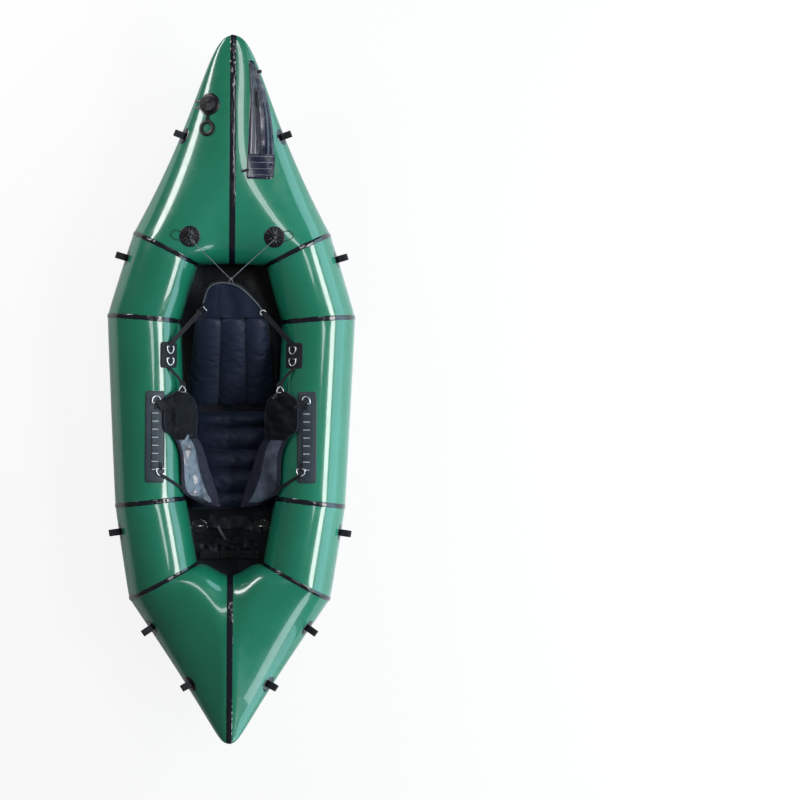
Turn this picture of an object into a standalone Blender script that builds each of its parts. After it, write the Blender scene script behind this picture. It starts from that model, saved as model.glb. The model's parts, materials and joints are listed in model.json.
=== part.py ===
"""A packraft: one closed inflated tube with pointed ends, a fabric floor, an inflatable
seat and backrest, thigh straps, a cargo zip, an inflation valve and its small fittings.

Metres, +Z up, stern at +Y, port at +X. The origin is on the ground under the middle.
"""

import math

import bmesh
import bpy
from mathutils import Matrix, Vector
from mathutils.bvhtree import BVHTree

# Overall sizes of the inflated boat
OVERALL_LENGTH = 2.66
OVERALL_WIDTH = 0.94
MITRE_RISE = 0.025
TIP_RISE = 0.165
END_HALF_DEPTH = 0.200
TUBE_RADIUS_SHARE = 0.14787

# Fabric, tape and clearances
FABRIC = 0.00055
TAPE = 0.0005
FLOOR_FABRIC = 0.0008
CLEARANCE = 0.0003
SEAM_GAP = 0.0005
HOOP_TAPE_WIDTH = 0.020
CENTRE_TAPE_WIDTH = 0.025
EDGE_TAPE_WIDTH = 0.010
CUT_DEPTH = 0.012
MERGE_DISTANCE = 0.00001

# Counts that set how finely the round forms are cut into faces
TUBE_SIDES = 20
END_ROWS = 6
TURNED_STEPS = 24
WIRE_SIDES = 12
CHANNEL_CELLS = 4
SEAT_COLUMNS = 10
BACK_HEEL_ROWS = 3
BACK_BODY_ROWS = 9
BACK_FLAP_ROWS = 3
PATCH_COLUMNS = 4
STRIP_ROWS = 6
SIDE_PATCH_ROWS = 3
DISC_RINGS = 2
ZIP_COLUMNS = 8
ZIP_ROWS = 16
CHAIN_CELLS = 16
LOOP_TURNS = 4
BACK_STRAP_CELLS = 4
FOOT_STRAP_CELLS = 6
CORD_CELLS = 8
SHARP_DEG = 40.0

# Seat and backrest: widths as shares of the cockpit's narrowest width, lengths and places
# along the boat as shares of half its length
SEAT_WIDTH_SHARE = 0.956
SEAT_LENGTH_SHARE = 0.2846
SEAT_REAR_SHARE = -0.05865
BACK_PIVOT_SHARE = -0.03383
BACK_LENGTH_SHARE = 0.28045
BACK_FLAP_LENGTH_SHARE = 0.10902
BACK_FOOT_WIDTH_SHARE = 0.9648
BACK_HEAD_WIDTH_SHARE = 0.7795
BACK_FLAP_FOOT_WIDTH_SHARE = 0.6942
BACK_FLAP_HEAD_WIDTH_SHARE = 0.3236
SEAT_THICKNESS = 0.064
SEAT_VALLEY = 0.046
SEAT_EDGE = 0.020
BACK_THICKNESS = 0.060
BACK_VALLEY = 0.036
BACK_FLAP_THICKNESS = 0.007
BACK_RECLINE_DEG = 30.0
HEEL_FROM_DEG = 15.0

# Webbing, straps and rings
WEBBING = 0.0018
WEBBING_WIDTH = 0.025
LOOP_REACH = 0.025
LOOP_HEIGHT = 0.019
STRAP_THICKNESS = 0.005
BACK_STRAP_WIDTH = 0.020
RING_WIDTH = 0.032
RING_REACH = 0.026
RING_WIRE = 0.0021
LUG_WIDTH = 0.017
LUG_WALL = 0.0016
LUG_SINK = 0.0009
PATCH_THICKNESS = 0.0022
STRIP_WIDTH = 0.076
STRIP_LENGTH = 0.352
SIDE_PATCH_WIDTH = 0.064
SIDE_PATCH_LENGTH = 0.100
ANCHOR_RADIUS = 0.040
FOOT_STRAP_LENGTH = 0.230
FOOT_STRAP_WIDTH = 0.026
FOOT_STRAP_HUMP = 0.007
CORD_RADIUS = 0.0016
KNOT_RADIUS = 0.0055

# Cargo zip on the port side of the stern
ZIP_THICKNESS = 0.0022
ZIP_CHAIN_WIDTH = 0.009
ZIP_CHAIN_HEIGHT = 0.0034
SLIDER_LENGTH = 0.024
SLIDER_WIDTH = 0.014
SLIDER_HEIGHT = 0.007
PULL_LENGTH = 0.034
PULL_WIDTH = 0.009
PULL_THICKNESS = 0.003

# Inflation valve
VALVE_FLANGE_RADIUS = 0.038
VALVE_FLANGE = 0.0035
VALVE_COLLAR_RADIUS = 0.0220
VALVE_COLLAR_HEIGHT = 0.0075
VALVE_BARREL_RADIUS = 0.0195
VALVE_BARREL_DEPTH = 0.024
VALVE_BORE_RADIUS = 0.0120
CAP_RADIUS = 0.0300
CAP_TOP = 0.0030
CAP_RIDGE = 0.0010
POPPET_GAP = 0.0006
POPPET_RECESS = 0.0045
POPPET_DISC = 0.0030
POPPET_STEM_RADIUS = 0.0030
POPPET_STEM = 0.018
KEEPER_OUTER_RADIUS = 0.031
KEEPER_INNER_RADIUS = 0.016
KEEPER_THICKNESS = 0.003
TETHER_WIDTH = 0.014

HALF_LENGTH = OVERALL_LENGTH / 2
TUBE_RADIUS = OVERALL_WIDTH * TUBE_RADIUS_SHARE
AXIS_SPREAD = OVERALL_WIDTH / 2 - TUBE_RADIUS
WRAP_HEIGHT = CLEARANCE + TAPE + CLEARANCE
AXIS_HEIGHT = TUBE_RADIUS + WRAP_HEIGHT + FLOOR_FABRIC
ROUNDING = 1 / math.cos(math.pi / TUBE_SIDES)
LUG_BORE = (RING_WIRE + CLEARANCE) / math.cos(math.pi / WIRE_SIDES)
LUG_RADIUS = LUG_BORE + LUG_WALL
SIDES = {"starboard": -1, "port": 1}

# Each seam's middle as shares of the tube axis's spread and of half the length, its half
# width across and along the boat as shares of the tube's radius, and its share of the rise
SEAM_SHARES = {
    "stern": (0.760, 0.3985, 0.874, 0.432, 1.0),
    "aft": (1.000, 0.2008, 1.000, 0.079, 0.0),
    "fore": (0.9154, -0.3218, 0.957, -0.108, 0.0),
    "bow": (0.763, -0.548, 0.917, -0.475, 1.0),
}
PANELS = {"aft": ("stern", "aft"), "mid": ("aft", "fore"), "fore": ("fore", "bow")}

# How each pointed end leaves its mitre: the heading of its outer and inner line in
# degrees off the boat's length, and the shares that their handles reach
END_SHAPE_SHARES = {
    "stern": {"inner_share": 0.3586, "heading": (29.0, 87.0), "reach": (0.66, 0.33), "tip": (0.268, 0.33)},
    "bow": {"inner_share": -0.5308, "heading": (35.0, 109.0), "reach": (0.91, 0.33), "tip": (0.13, 0.30)},
}
COCKPIT_WIDTH = 2 * (SEAM_SHARES["fore"][0] * AXIS_SPREAD - SEAM_SHARES["fore"][2] * TUBE_RADIUS)
SEAT_WIDTH = COCKPIT_WIDTH * SEAT_WIDTH_SHARE
SEAT_LENGTH = HALF_LENGTH * SEAT_LENGTH_SHARE
SEAT_REAR = HALF_LENGTH * SEAT_REAR_SHARE
BACK_PIVOT_Y = HALF_LENGTH * BACK_PIVOT_SHARE
BACK_LENGTH = HALF_LENGTH * BACK_LENGTH_SHARE
BACK_FLAP_LENGTH = HALF_LENGTH * BACK_FLAP_LENGTH_SHARE
BACK_FOOT_WIDTH = COCKPIT_WIDTH * BACK_FOOT_WIDTH_SHARE
BACK_HEAD_WIDTH = COCKPIT_WIDTH * BACK_HEAD_WIDTH_SHARE
BACK_FLAP_FOOT_WIDTH = COCKPIT_WIDTH * BACK_FLAP_FOOT_WIDTH_SHARE
BACK_FLAP_HEAD_WIDTH = COCKPIT_WIDTH * BACK_FLAP_HEAD_WIDTH_SHARE
TAPER_SHARE = 0.8
SHEER_POWER = 2.2
RISE_HANDLE_SHARE = 0.33
FINE_SHARE = 0.0000001
NUDGE_SHARE = 0.01

# Angles round the tube in degrees: 0 is outboard, 90 on top, 180 inboard, 270 below
FLOOR_INNER_DEG = 243.0
LOOP_DEG = 18.0

# The port half of the floor's bonded outline in plan, from the stern to the bow, as shares
# of the tube axis's spread and of half the length
FLOOR_OUTLINE_SHARES = (
    (0.32, 0.716),
    (0.604, 0.656),
    (0.860, 0.545),
    (1.015, 0.462),
    (1.130, 0.376),
    (1.190, 0.291),
    (1.208, 0.226),
    (1.180, -0.203),
    (1.124, -0.398),
    (1.003, -0.585),
    (0.906, -0.641),
    (0.692, -0.707),
    (0.468, -0.757),
    (0.211, -0.792),
)
FLOOR_ENDS_SHARE = (0.744, -0.801)

# Where the tie-down loops stand: the part of the hull and the share along it
LOOP_PLACE_SHARES = {
    "tie_loop_stern": ("stern", 0.31),
    "tie_loop_aft": ("aft", 0.30),
    "tie_loop_fore": ("fore", 0.28),
    "tie_loop_bow": ("bow", 0.085),
    "tie_loop_nose": ("bow", 0.305),
}

# Places in plan, as shares of the tube axis's spread and of half the length
STRIP_PLACE_SHARE = (0.864, -0.136)
AFT_RING_PLACE_SHARE = (0.852, -0.040)
FORE_RING_PLACE_SHARE = (0.800, -0.226)
SIDE_PATCH_PLACE_SHARE = (0.715, 0.0960)
PATCH_RING_PLACE_SHARES = {"aft": (0.705, 0.1203), "fore": (0.705, 0.0867)}
BACK_STRAP_START_SHARES = (0.76, 0.25)
BACK_STRAP_END_SHARE = (0.715, 0.1305)
ANCHOR_PLACE_SHARE = (0.480, 0.430)
FLOOR_RING_PLACE_SHARE = (0.365, -0.393)
FOOT_STRAP_PLACE_SHARE = (0.0, -0.478)

# Places on the stern, as shares of the hull's half width there and of half the length
VALVE_PLACE_SHARE = (-0.593, 0.805)
KEEPER_PLACE_SHARE = (-0.517, 0.737)
ZIP_TRACK_SHARES = ((0.665, 0.850), (0.424, 0.632))

# The zip flap's inner and outer edge, as shares of the half width, at shares of the length
ZIP_EDGE_SHARES = (
    (0.66, 0.90, 0.930),
    (0.53, 0.93, 0.876),
    (0.455, 0.92, 0.828),
    (0.345, 0.84, 0.760),
    (0.242, 0.68, 0.664),
    (0.19, 0.553, 0.593),
)

# Thigh strap: outer and inner edge in plan as above, and their heights as shares of the
# height of the tube's top
THIGH_STRAP_SHARES = (
    ((0.728, 0.058), (0.668, 0.064), (0.925, 0.905)),
    ((0.560, 0.016), (0.500, 0.012), (0.860, 0.840)),
    ((0.640, -0.016), (0.490, -0.018), (0.900, 0.845)),
    ((0.755, -0.034), (0.400, -0.034), (0.985, 0.750)),
    ((0.755, -0.119), (0.400, -0.119), (0.985, 0.740)),
    ((0.650, -0.133), (0.395, -0.132), (0.920, 0.735)),
    ((0.572, -0.186), (0.330, -0.165), (0.830, 0.640)),
    ((0.560, -0.270), (0.254, -0.226), (0.800, 0.545)),
    ((0.516, -0.298), (0.170, -0.290), (0.740, 0.460)),
    ((0.300, -0.330), (0.120, -0.336), (0.480, 0.425)),
)
THIGH_AXIS_SHARE = (0.792, 0.986)

# Channels of the cushions, as shares of the cushion's length or half width, and the powers
# that round their edges
SEAT_CHANNEL_SHARES = (0.0, 0.167, 0.400, 0.600, 0.826, 1.0)
BACK_CHANNEL_SHARES = (-1.0, -0.34, 0.34, 1.0)
SEAT_EDGE_POWERS = (4, 0.55)
SEAT_END_SHARE = 0.1
SEAT_WAIST_SHARE = 0.03
BACK_EDGE_POWERS = (6, 0.5)
BACK_EDGE_SHARE = 0.3
BACK_TAPER_SHARE = 0.75

# Ring-shaped ridges of the valve's cap, as shares of its radius, and the D-ring's shoulder
CAP_RIDGE_SHARES = (0.25, 0.45, 0.65, 0.85)
RING_SHOULDER_SHARE = 0.25

# Colours as the materials show them, with roughness and metallic value
FINISHES = {
    "hull_green": ((0.10, 0.36, 0.26), 0.30, 0.0),
    "tape_black": ((0.012, 0.014, 0.022), 0.28, 0.0),
    "floor_black": ((0.010, 0.011, 0.014), 0.30, 0.0),
    "edge_grey": ((0.20, 0.21, 0.22), 0.55, 0.0),
    "cushion_navy": ((0.016, 0.018, 0.030), 0.62, 0.0),
    "webbing_black": ((0.010, 0.010, 0.012), 0.75, 0.0),
    "strip_grey": ((0.035, 0.037, 0.042), 0.60, 0.0),
    "zip_navy": ((0.012, 0.016, 0.036), 0.25, 0.0),
    "valve_black": ((0.014, 0.014, 0.016), 0.35, 0.0),
    "cord_grey": ((0.18, 0.18, 0.19), 0.70, 0.0),
    "ring_steel": ((0.70, 0.71, 0.72), 0.22, 1.0),
}


def clear_scene():
    for old in list(bpy.data.objects):
        bpy.data.objects.remove(old, do_unlink=True)


def collection(name):
    made = bpy.data.collections.new(name)
    bpy.context.scene.collection.children.link(made)
    return made


def finish(name):
    found = bpy.data.materials.get(name)
    if found:
        return found
    colour, roughness, metallic = FINISHES[name]
    made = bpy.data.materials.new(name)
    made.use_nodes = True
    shader = made.node_tree.nodes["Principled BSDF"]
    shader.inputs["Base Color"].default_value = (*colour, 1.0)
    shader.inputs["Roughness"].default_value = roughness
    shader.inputs["Metallic"].default_value = metallic
    return made


clear_scene()
PARTS = collection("packraft")
CUTTERS = collection("cutters")


def mix(a, b, share):
    return a + (b - a) * share


def plan(place, side=1):
    """The x and y of a place given in shares; side mirrors it to starboard."""
    return side * place[0] * AXIS_SPREAD, place[1] * HALF_LENGTH


def add_object(name, mesh, material):
    made = bpy.data.objects.new(name, mesh)
    PARTS.objects.link(made)
    mesh.materials.append(finish(material))
    return made


def as_cutter(obj):
    for holder in list(obj.users_collection):
        holder.objects.unlink(obj)
    CUTTERS.objects.link(obj)
    obj.hide_render = True
    obj.display_type = "WIRE"
    return obj


def boolean(obj, other, operation="DIFFERENCE"):
    step = obj.modifiers.new(operation.lower(), "BOOLEAN")
    step.operation = operation
    step.object = other
    step.solver = "EXACT"


def set_pivot(obj, frame):
    """Moves an object's origin to a frame whose X axis is the joint's axis."""
    obj.data.transform(frame.inverted())
    obj.matrix_world = frame


def frame_at(origin, x_axis, z_hint):
    """A frame with the given X axis and its Z axis as near the hint as it can be."""
    x = Vector(x_axis).normalized()
    y = Vector(z_hint).cross(x).normalized()
    z = x.cross(y)
    turn = Matrix((x, y, z)).transposed().to_4x4()
    return Matrix.Translation(origin) @ turn


# The tube's sections. A section is a ring of points, one for each angle round the tube.
def corner_angles():
    step = 2 * math.pi / TUBE_SIDES
    return [(k + 0.5) * step for k in range(TUBE_SIDES)]


def seam_point(seam, angle):
    across, along, half_across, half_along, rise = SEAM_SHARES[seam]
    out = math.cos(angle) * ROUNDING * TUBE_RADIUS
    return Vector(
        (
            across * AXIS_SPREAD + half_across * out,
            along * HALF_LENGTH + half_along * out,
            AXIS_HEIGHT + rise * MITRE_RISE + math.sin(angle) * ROUNDING * TUBE_RADIUS,
        )
    )


def tip_point(end, angle):
    """A point of the end's section in the boat's middle plane, a leaning teardrop."""
    inner = END_SHAPE_SHARES[end]["inner_share"] * HALF_LENGTH
    tip = math.copysign(HALF_LENGTH, inner)
    share = (1 + math.cos(angle) * ROUNDING) / 2
    half = END_HALF_DEPTH * math.sin(angle) * ROUNDING * (1 - TAPER_SHARE * share)
    middle = AXIS_HEIGHT + MITRE_RISE + (TIP_RISE - MITRE_RISE) * share**SHEER_POWER
    return Vector((0, mix(inner, tip, share), middle + half))


def end_handles(end, angle):
    """The four Bezier points of the line that one corner of the tube follows to the tip."""
    shape = END_SHAPE_SHARES[end]
    share = (1 + math.cos(angle) * ROUNDING) / 2
    heading, reach, tip = (mix(shape[k][1], shape[k][0], share) for k in ("heading", "reach", "tip"))
    start = seam_point(end, angle)
    stop = tip_point(end, angle)
    ahead = math.copysign(1, SEAM_SHARES[end][1])
    chord = (stop - start).xy.length
    turn = math.radians(heading)
    first = start + Vector((-math.sin(turn), ahead * math.cos(turn), 0)) * chord * reach
    first.z = mix(start.z, stop.z, RISE_HANDLE_SHARE)
    second = stop + Vector((start.x * tip, 0, 0))
    return start, first, second, stop


def end_point(end, angle, share):
    a, b, c, d = end_handles(end, angle)
    left = 1 - share
    return a * left**3 + b * 3 * left**2 * share + c * 3 * left * share**2 + d * share**3


def share_at_centre_tape(end, angle):
    """How far along its line a corner comes within the centre tape, found by halving."""
    low, high = 0.0, 1.0
    while high - low > FINE_SHARE:
        middle = (low + high) / 2
        if end_point(end, angle, middle).x > CENTRE_TAPE_WIDTH / 2:
            low = middle
        else:
            high = middle
    return low


def share_at_hoop_tape(end, angle):
    start, first, _, _ = end_handles(end, angle)
    return HOOP_TAPE_WIDTH / 2 / (3 * (first - start).length)


def end_rows(end):
    """Sections of the port half of an end, from its mitre to the middle plane."""
    angles = corner_angles()
    inside = [share_at_centre_tape(end, a) for a in angles]
    rows = [[seam_point(end, a) for a in angles]]
    rows.append([end_point(end, a, share_at_hoop_tape(end, a)) for a in angles])
    for k in range(1, END_ROWS + 1):
        rows.append([end_point(end, a, s * k / END_ROWS) for a, s in zip(angles, inside)])
    rows.append([tip_point(end, a) for a in angles])
    return rows


def panel_rows(panel):
    """Sections of a straight port panel: its two seams and the edges of their tapes."""
    first, last = PANELS[panel]
    rows = [[], [], [], []]
    for angle in corner_angles():
        a, b = seam_point(first, angle), seam_point(last, angle)
        edge = (b - a).normalized() * HOOP_TAPE_WIDTH / 2
        for row, point in zip(rows, (a, a + edge, b - edge, b)):
            row.append(point)
    return rows


def mirrored(rows):
    return [[Vector((-p.x, p.y, p.z)) for p in row] for row in rows]


def on_side(rows, side):
    return rows if side > 0 else mirrored(rows)


END_SECTIONS = {end: end_rows(end) for end in ("stern", "bow")}
PANEL_SECTIONS = {panel: panel_rows(panel) for panel in PANELS}


def stern_half_width(y):
    """Half the hull's width on the stern at a place along the boat."""
    line = [section[0] for section in END_SECTIONS["stern"]]
    for a, b in zip(line, line[1:]):
        if a.y <= y <= b.y:
            return mix(a.x, b.x, (y - a.y) / (b.y - a.y))
    raise ValueError(f"no stern at {y} along the boat")


def stern_plan(place):
    """The x and y of a place on the stern, given in shares of its half width and length."""
    y = place[1] * HALF_LENGTH
    return place[0] * stern_half_width(y), y


def side_rows():
    """All sections of the port side, from the stern's middle plane to the bow's."""
    rows = END_SECTIONS["stern"][::-1]
    for panel in PANELS:
        rows = rows + PANEL_SECTIONS[panel][1:]
    return rows + END_SECTIONS["bow"][1:]


def sheet_mesh(name, rows, closed, loop=False, cap=False):
    """A sheet through rows of points, closed round each row if asked.

    Each cell is split along its shorter diagonal, so that layers over the same rows fit.
    """
    mesh = bpy.data.meshes.new(name)
    form = bmesh.new()
    grid = [[form.verts.new(p) for p in row] for row in rows]
    if loop:
        grid.append(grid[0])
    count = len(rows[0])
    for row, following in zip(grid, grid[1:]):
        for k in range(count if closed else count - 1):
            n = (k + 1) % count
            a, b, c, d = row[k], row[n], following[n], following[k]
            if (a.co - c.co).length < (b.co - d.co).length:
                halves = (a, b, c), (a, c, d)
            else:
                halves = (a, b, d), (b, c, d)
            for half in halves:
                form.faces.new(half)
    if cap:
        form.faces.new(grid[0][::-1])
    form.to_mesh(mesh)
    form.free()
    return mesh


def closed_bar(name, rows, material):
    """A cutter or added piece through rows of points, with a face at each end."""
    mesh = sheet_mesh(name, rows, True)
    count = len(rows[0])
    form = bmesh.new()
    form.from_mesh(mesh)
    form.verts.ensure_lookup_table()
    form.faces.new(form.verts[:count])
    form.faces.new(form.verts[-count:])
    bmesh.ops.recalc_face_normals(form, faces=form.faces)
    form.to_mesh(mesh)
    form.free()
    return as_cutter(add_object(name, mesh, material))


def face_out(mesh, facing):
    """Turns the sheet's faces outward: along facing, or away from the middle of the rows."""
    form = bmesh.new()
    form.from_mesh(mesh)
    form.normal_update()
    if facing is None:
        middle = sum((v.co for v in form.verts), Vector()) / len(form.verts)
        tally = sum(f.normal.dot(f.calc_center_median() - middle) * f.calc_area() for f in form.faces)
    else:
        tally = sum(f.normal.dot(facing) * f.calc_area() for f in form.faces)
    if tally < 0:
        bmesh.ops.reverse_faces(form, faces=form.faces)
    form.to_mesh(mesh)
    form.free()


def lift(mesh, height):
    """Moves a sheet out along its normals, so that each face rises by the height."""
    form = bmesh.new()
    form.from_mesh(mesh)
    form.normal_update()
    moves = [(v, v.normal * height * v.calc_shell_factor()) for v in form.verts]
    for vert, move in moves:
        vert.co += move
    form.to_mesh(mesh)
    form.free()


def solidify(obj, thickness, outward):
    step = obj.modifiers.new("thickness", "SOLIDIFY")
    step.thickness = thickness
    step.offset = 1 if outward else -1
    step.use_even_offset = True


def skin(name, rows, material, height, thickness, outward=True):
    """A layer of fabric round the tube: a sheet at the height, made solid."""
    mesh = sheet_mesh(name, rows, True)
    face_out(mesh, None)
    lift(mesh, height)
    made = add_object(name, mesh, material)
    solidify(made, thickness, outward)
    return made


def drawn_back(rows):
    """The rows with their end sections pulled back by half a seam gap."""
    rows = [list(row) for row in rows]
    for end, beside in ((0, 1), (-1, -2)):
        for k, point in enumerate(rows[end]):
            inward = (rows[beside][k] - point).normalized()
            rows[end][k] = point + inward * SEAM_GAP / 2
    return rows


def across_the_end(end):
    """Sections of a whole end from the starboard mitre through the middle to port."""
    half = END_SECTIONS[end]
    return mirrored(half) + half[-2::-1]


def valve_hole():
    x, y = stern_plan(VALVE_PLACE_SHARE)
    frame = hull_frame(x, y, VALVE_FLANGE_RADIUS)
    return cylinder_cutter(
        "valve_hole", VALVE_BARREL_RADIUS + CLEARANCE + CLEARANCE, VALVE_BARREL_DEPTH, frame, TURNED_STEPS
    )


def make_hull():
    for end in END_SECTIONS:
        rows = drawn_back(across_the_end(end))
        made = skin(f"hull_{end}", rows, "hull_green", 0, FABRIC, outward=False)
        if end == "stern":
            boolean(made, valve_hole())
    for panel, rows in PANEL_SECTIONS.items():
        for word, side in SIDES.items():
            rows_here = drawn_back(on_side(rows, side))
            skin(f"hull_{panel}_{word}", rows_here, "hull_green", 0, FABRIC, outward=False)


def seam_rows(seam):
    """The three port sections under a hoop tape."""
    if seam in END_SECTIONS:
        neighbour = PANEL_SECTIONS["aft" if seam == "stern" else "fore"]
        beside = neighbour[1] if seam == "stern" else neighbour[-2]
        return [END_SECTIONS[seam][1], END_SECTIONS[seam][0], beside]
    before, after = ("aft", "mid") if seam == "aft" else ("mid", "fore")
    return [PANEL_SECTIONS[before][-2], PANEL_SECTIONS[before][-1], PANEL_SECTIONS[after][1]]


def make_tapes():
    for seam in SEAM_SHARES:
        for word, side in SIDES.items():
            rows = on_side(seam_rows(seam), side)
            skin(f"tape_{seam}_{word}", rows, "tape_black", CLEARANCE, TAPE)
    for end, sections in END_SECTIONS.items():
        rows = [mirrored(sections)[-2], sections[-1], sections[-2]]
        skin(f"tape_{end}_centre", rows, "tape_black", CLEARANCE, TAPE)


# The floor: one sheet under the cockpit, whose edges are bonded up the tube's underside
def underside(section):
    """A section's corners from the tube's outboard side to the inner rim of the floor's edge."""
    inner = round(FLOOR_INNER_DEG / 360 * TUBE_SIDES - 0.5)
    return section[:inner - 1:-1]


def floor_rim(end):
    """The line where the sheet leaves the tube at an end, from port to starboard."""
    port = [underside(section)[-1] for section in END_SECTIONS[end]]
    return port + mirrored([port[-2::-1]])[0]


def floor_row(section, end=None):
    """One row across the floor, from port to starboard; at an end it follows that rim."""
    port = underside(section)
    starboard = mirrored([port[::-1]])[0]
    if end:
        return port + floor_rim(end)[1:-1] + starboard
    edge = port[-1]
    rim = floor_rim("stern")
    return port + [Vector((edge.x * p.x / rim[0].x, edge.y, edge.z)) for p in rim[1:-1]] + starboard


def outline_prism(name, grow):
    """A cutter that stands on the floor's outline, grown outward by a distance."""
    stern, bow = FLOOR_ENDS_SHARE
    port = [Vector((*plan(place), 0)) for place in FLOOR_OUTLINE_SHARES]
    starboard = [Vector((-p.x, p.y, 0)) for p in port[::-1]]
    ring = [Vector((0, stern * HALF_LENGTH, 0))] + port + [Vector((0, bow * HALF_LENGTH, 0))] + starboard
    grown = []
    for k, point in enumerate(ring):
        along = (ring[(k + 1) % len(ring)] - ring[k - 1]).normalized()
        grown.append(point + Vector((-along.y, along.x, 0)) * grow)
    rows = [[p + Vector((0, 0, z)) for p in grown] for z in (-OVERALL_WIDTH, OVERALL_WIDTH)]
    return closed_bar(name, rows, "floor_black")


def joined(name, meshes):
    """Sheets that share an edge, made one."""
    form = bmesh.new()
    for mesh in meshes:
        form.from_mesh(mesh)
    bmesh.ops.remove_doubles(form, verts=form.verts, dist=CLEARANCE / 10)
    bmesh.ops.recalc_face_normals(form, faces=form.faces)
    whole = bpy.data.meshes.new(name)
    form.to_mesh(whole)
    form.free()
    return whole


def make_floor():
    rows = [floor_row(PANEL_SECTIONS["aft"][0], "stern")]
    for sections in PANEL_SECTIONS.values():
        rows += [floor_row(section) for section in sections[1:]]
    rows[-1] = floor_row(PANEL_SECTIONS["fore"][-1], "bow")
    sheets = [sheet_mesh("floor_middle", rows, False)]
    for end in END_SECTIONS:
        wrap = [underside(section) for section in across_the_end(end)]
        sheets.append(sheet_mesh(f"floor_{end}", wrap, False))
    mesh = joined("floor_sheet", sheets)
    face_out(mesh, Vector((0, 0, -1)))
    lift(mesh, WRAP_HEIGHT)
    floor = add_object("floor_sheet", mesh, "floor_black")
    solidify(floor, FLOOR_FABRIC, outward=True)
    boolean(floor, outline_prism("floor_outline", 0), "INTERSECT")
    return floor


def make_edge_tape():
    """The grey tape along the floor's bonded edge, all the way round the boat."""
    port = [underside(section) for section in side_rows()]
    rows = port + mirrored(port)[-2:0:-1]
    mesh = sheet_mesh("floor_edge_tape", rows, False, loop=True)
    face_out(mesh, Vector((0, 0, -1)))
    lift(mesh, WRAP_HEIGHT)
    made = add_object("floor_edge_tape", mesh, "edge_grey")
    solidify(made, TAPE, outward=True)
    boolean(made, outline_prism("tape_outer_edge", SEAM_GAP + EDGE_TAPE_WIDTH), "INTERSECT")
    boolean(made, outline_prism("tape_inner_edge", SEAM_GAP))


# Helpers that place pieces on the hull
def envelope():
    """The hull's outside as one closed ring, lifted by the clearance."""
    port = side_rows()
    rows = port + mirrored(port)[-2:0:-1]
    mesh = sheet_mesh("hull_envelope", rows, True, loop=True)
    orient_ring(mesh)
    lift(mesh, CLEARANCE)
    return as_cutter(add_object("hull_envelope", mesh, "hull_green"))


def orient_ring(mesh):
    form = bmesh.new()
    form.from_mesh(mesh)
    if form.calc_volume(signed=True) < 0:
        bmesh.ops.reverse_faces(form, faces=form.faces)
    form.to_mesh(mesh)
    form.free()


def tree_of(obj):
    bpy.context.view_layer.update()
    return BVHTree.FromObject(obj, bpy.context.evaluated_depsgraph_get())


def cast_down(tree, x, y):
    top = Vector((x, y, OVERALL_WIDTH))
    return tree.ray_cast(top, Vector((0, 0, -1)))[0]


def hull_frame(x, y, reach):
    """A frame on the hull seen from above: X across the boat, Z along the mean normal."""
    point = cast_down(HULL_TREE, x, y)
    right, left = cast_down(HULL_TREE, x + reach, y), cast_down(HULL_TREE, x - reach, y)
    aft, fore = cast_down(HULL_TREE, x, y + reach), cast_down(HULL_TREE, x, y - reach)
    normal = (right - left).cross(aft - fore).normalized()
    return frame_at(point, normal.cross(Vector((0, -1, 0))), normal)


def cylinder(name, radius, depth, frame, sides):
    mesh = bpy.data.meshes.new(name)
    form = bmesh.new()
    bmesh.ops.create_cone(
        form, cap_ends=True, segments=sides, radius1=radius, radius2=radius, depth=depth * 2
    )
    form.to_mesh(mesh)
    form.free()
    made = add_object(name, mesh, "valve_black")
    made.matrix_world = frame
    return made


def cylinder_cutter(name, radius, depth, frame, sides):
    return as_cutter(cylinder(name, radius, depth, frame, sides))


def draped(name, places, material, thickness, closed=False, cap=False, raised=None):
    """A patch bonded on the hull: rows of places in plan, laid on the skin from above.

    A raised piece is joined to it before the hull's shape is cut from both.
    """
    rows = [[cast_down(HULL_TREE, x, y) for x, y in row] for row in places]
    mesh = sheet_mesh(name, rows, closed, cap=cap)
    face_out(mesh, Vector((0, 0, 1)))
    lift(mesh, thickness)
    made = add_object(name, mesh, material)
    solidify(made, thickness + CUT_DEPTH, outward=False)
    if raised:
        boolean(made, raised, "UNION")
    boolean(made, ENVELOPE)
    return made


def plan_grid(centre, width, length, columns, rows):
    """Places of a rectangular patch in plan, whose rows run across the boat."""
    x, y = centre
    return [
        [
            (x + width * (k / columns - 0.5), y + length * (j / rows - 0.5))
            for k in range(columns + 1)
        ]
        for j in range(rows + 1)
    ]


def round_grid(centre, radius, rings, sides):
    x, y = centre
    turns = [2 * math.pi * k / sides for k in range(sides)]
    return [
        [(x + radius * (j + 0.5) / (rings + 0.5) * math.cos(t),
          y + radius * (j + 0.5) / (rings + 0.5) * math.sin(t)) for t in turns]
        for j in range(rings + 1)
    ]


def turned(name, profile, frame, material):
    """A turned piece. The profile lists radius and height down its outer side."""
    mesh = bpy.data.meshes.new(name)
    points = [(radius, 0, height) for radius, height in profile]
    mesh.from_pydata(points, [(k, k + 1) for k in range(len(points) - 1)], [])
    made = add_object(name, mesh, material)
    step = made.modifiers.new("turn", "SCREW")
    step.steps = TURNED_STEPS
    step.render_steps = TURNED_STEPS
    step.use_merge_vertices = True
    step.merge_threshold = MERGE_DISTANCE
    made.matrix_world = frame
    return made


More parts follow.
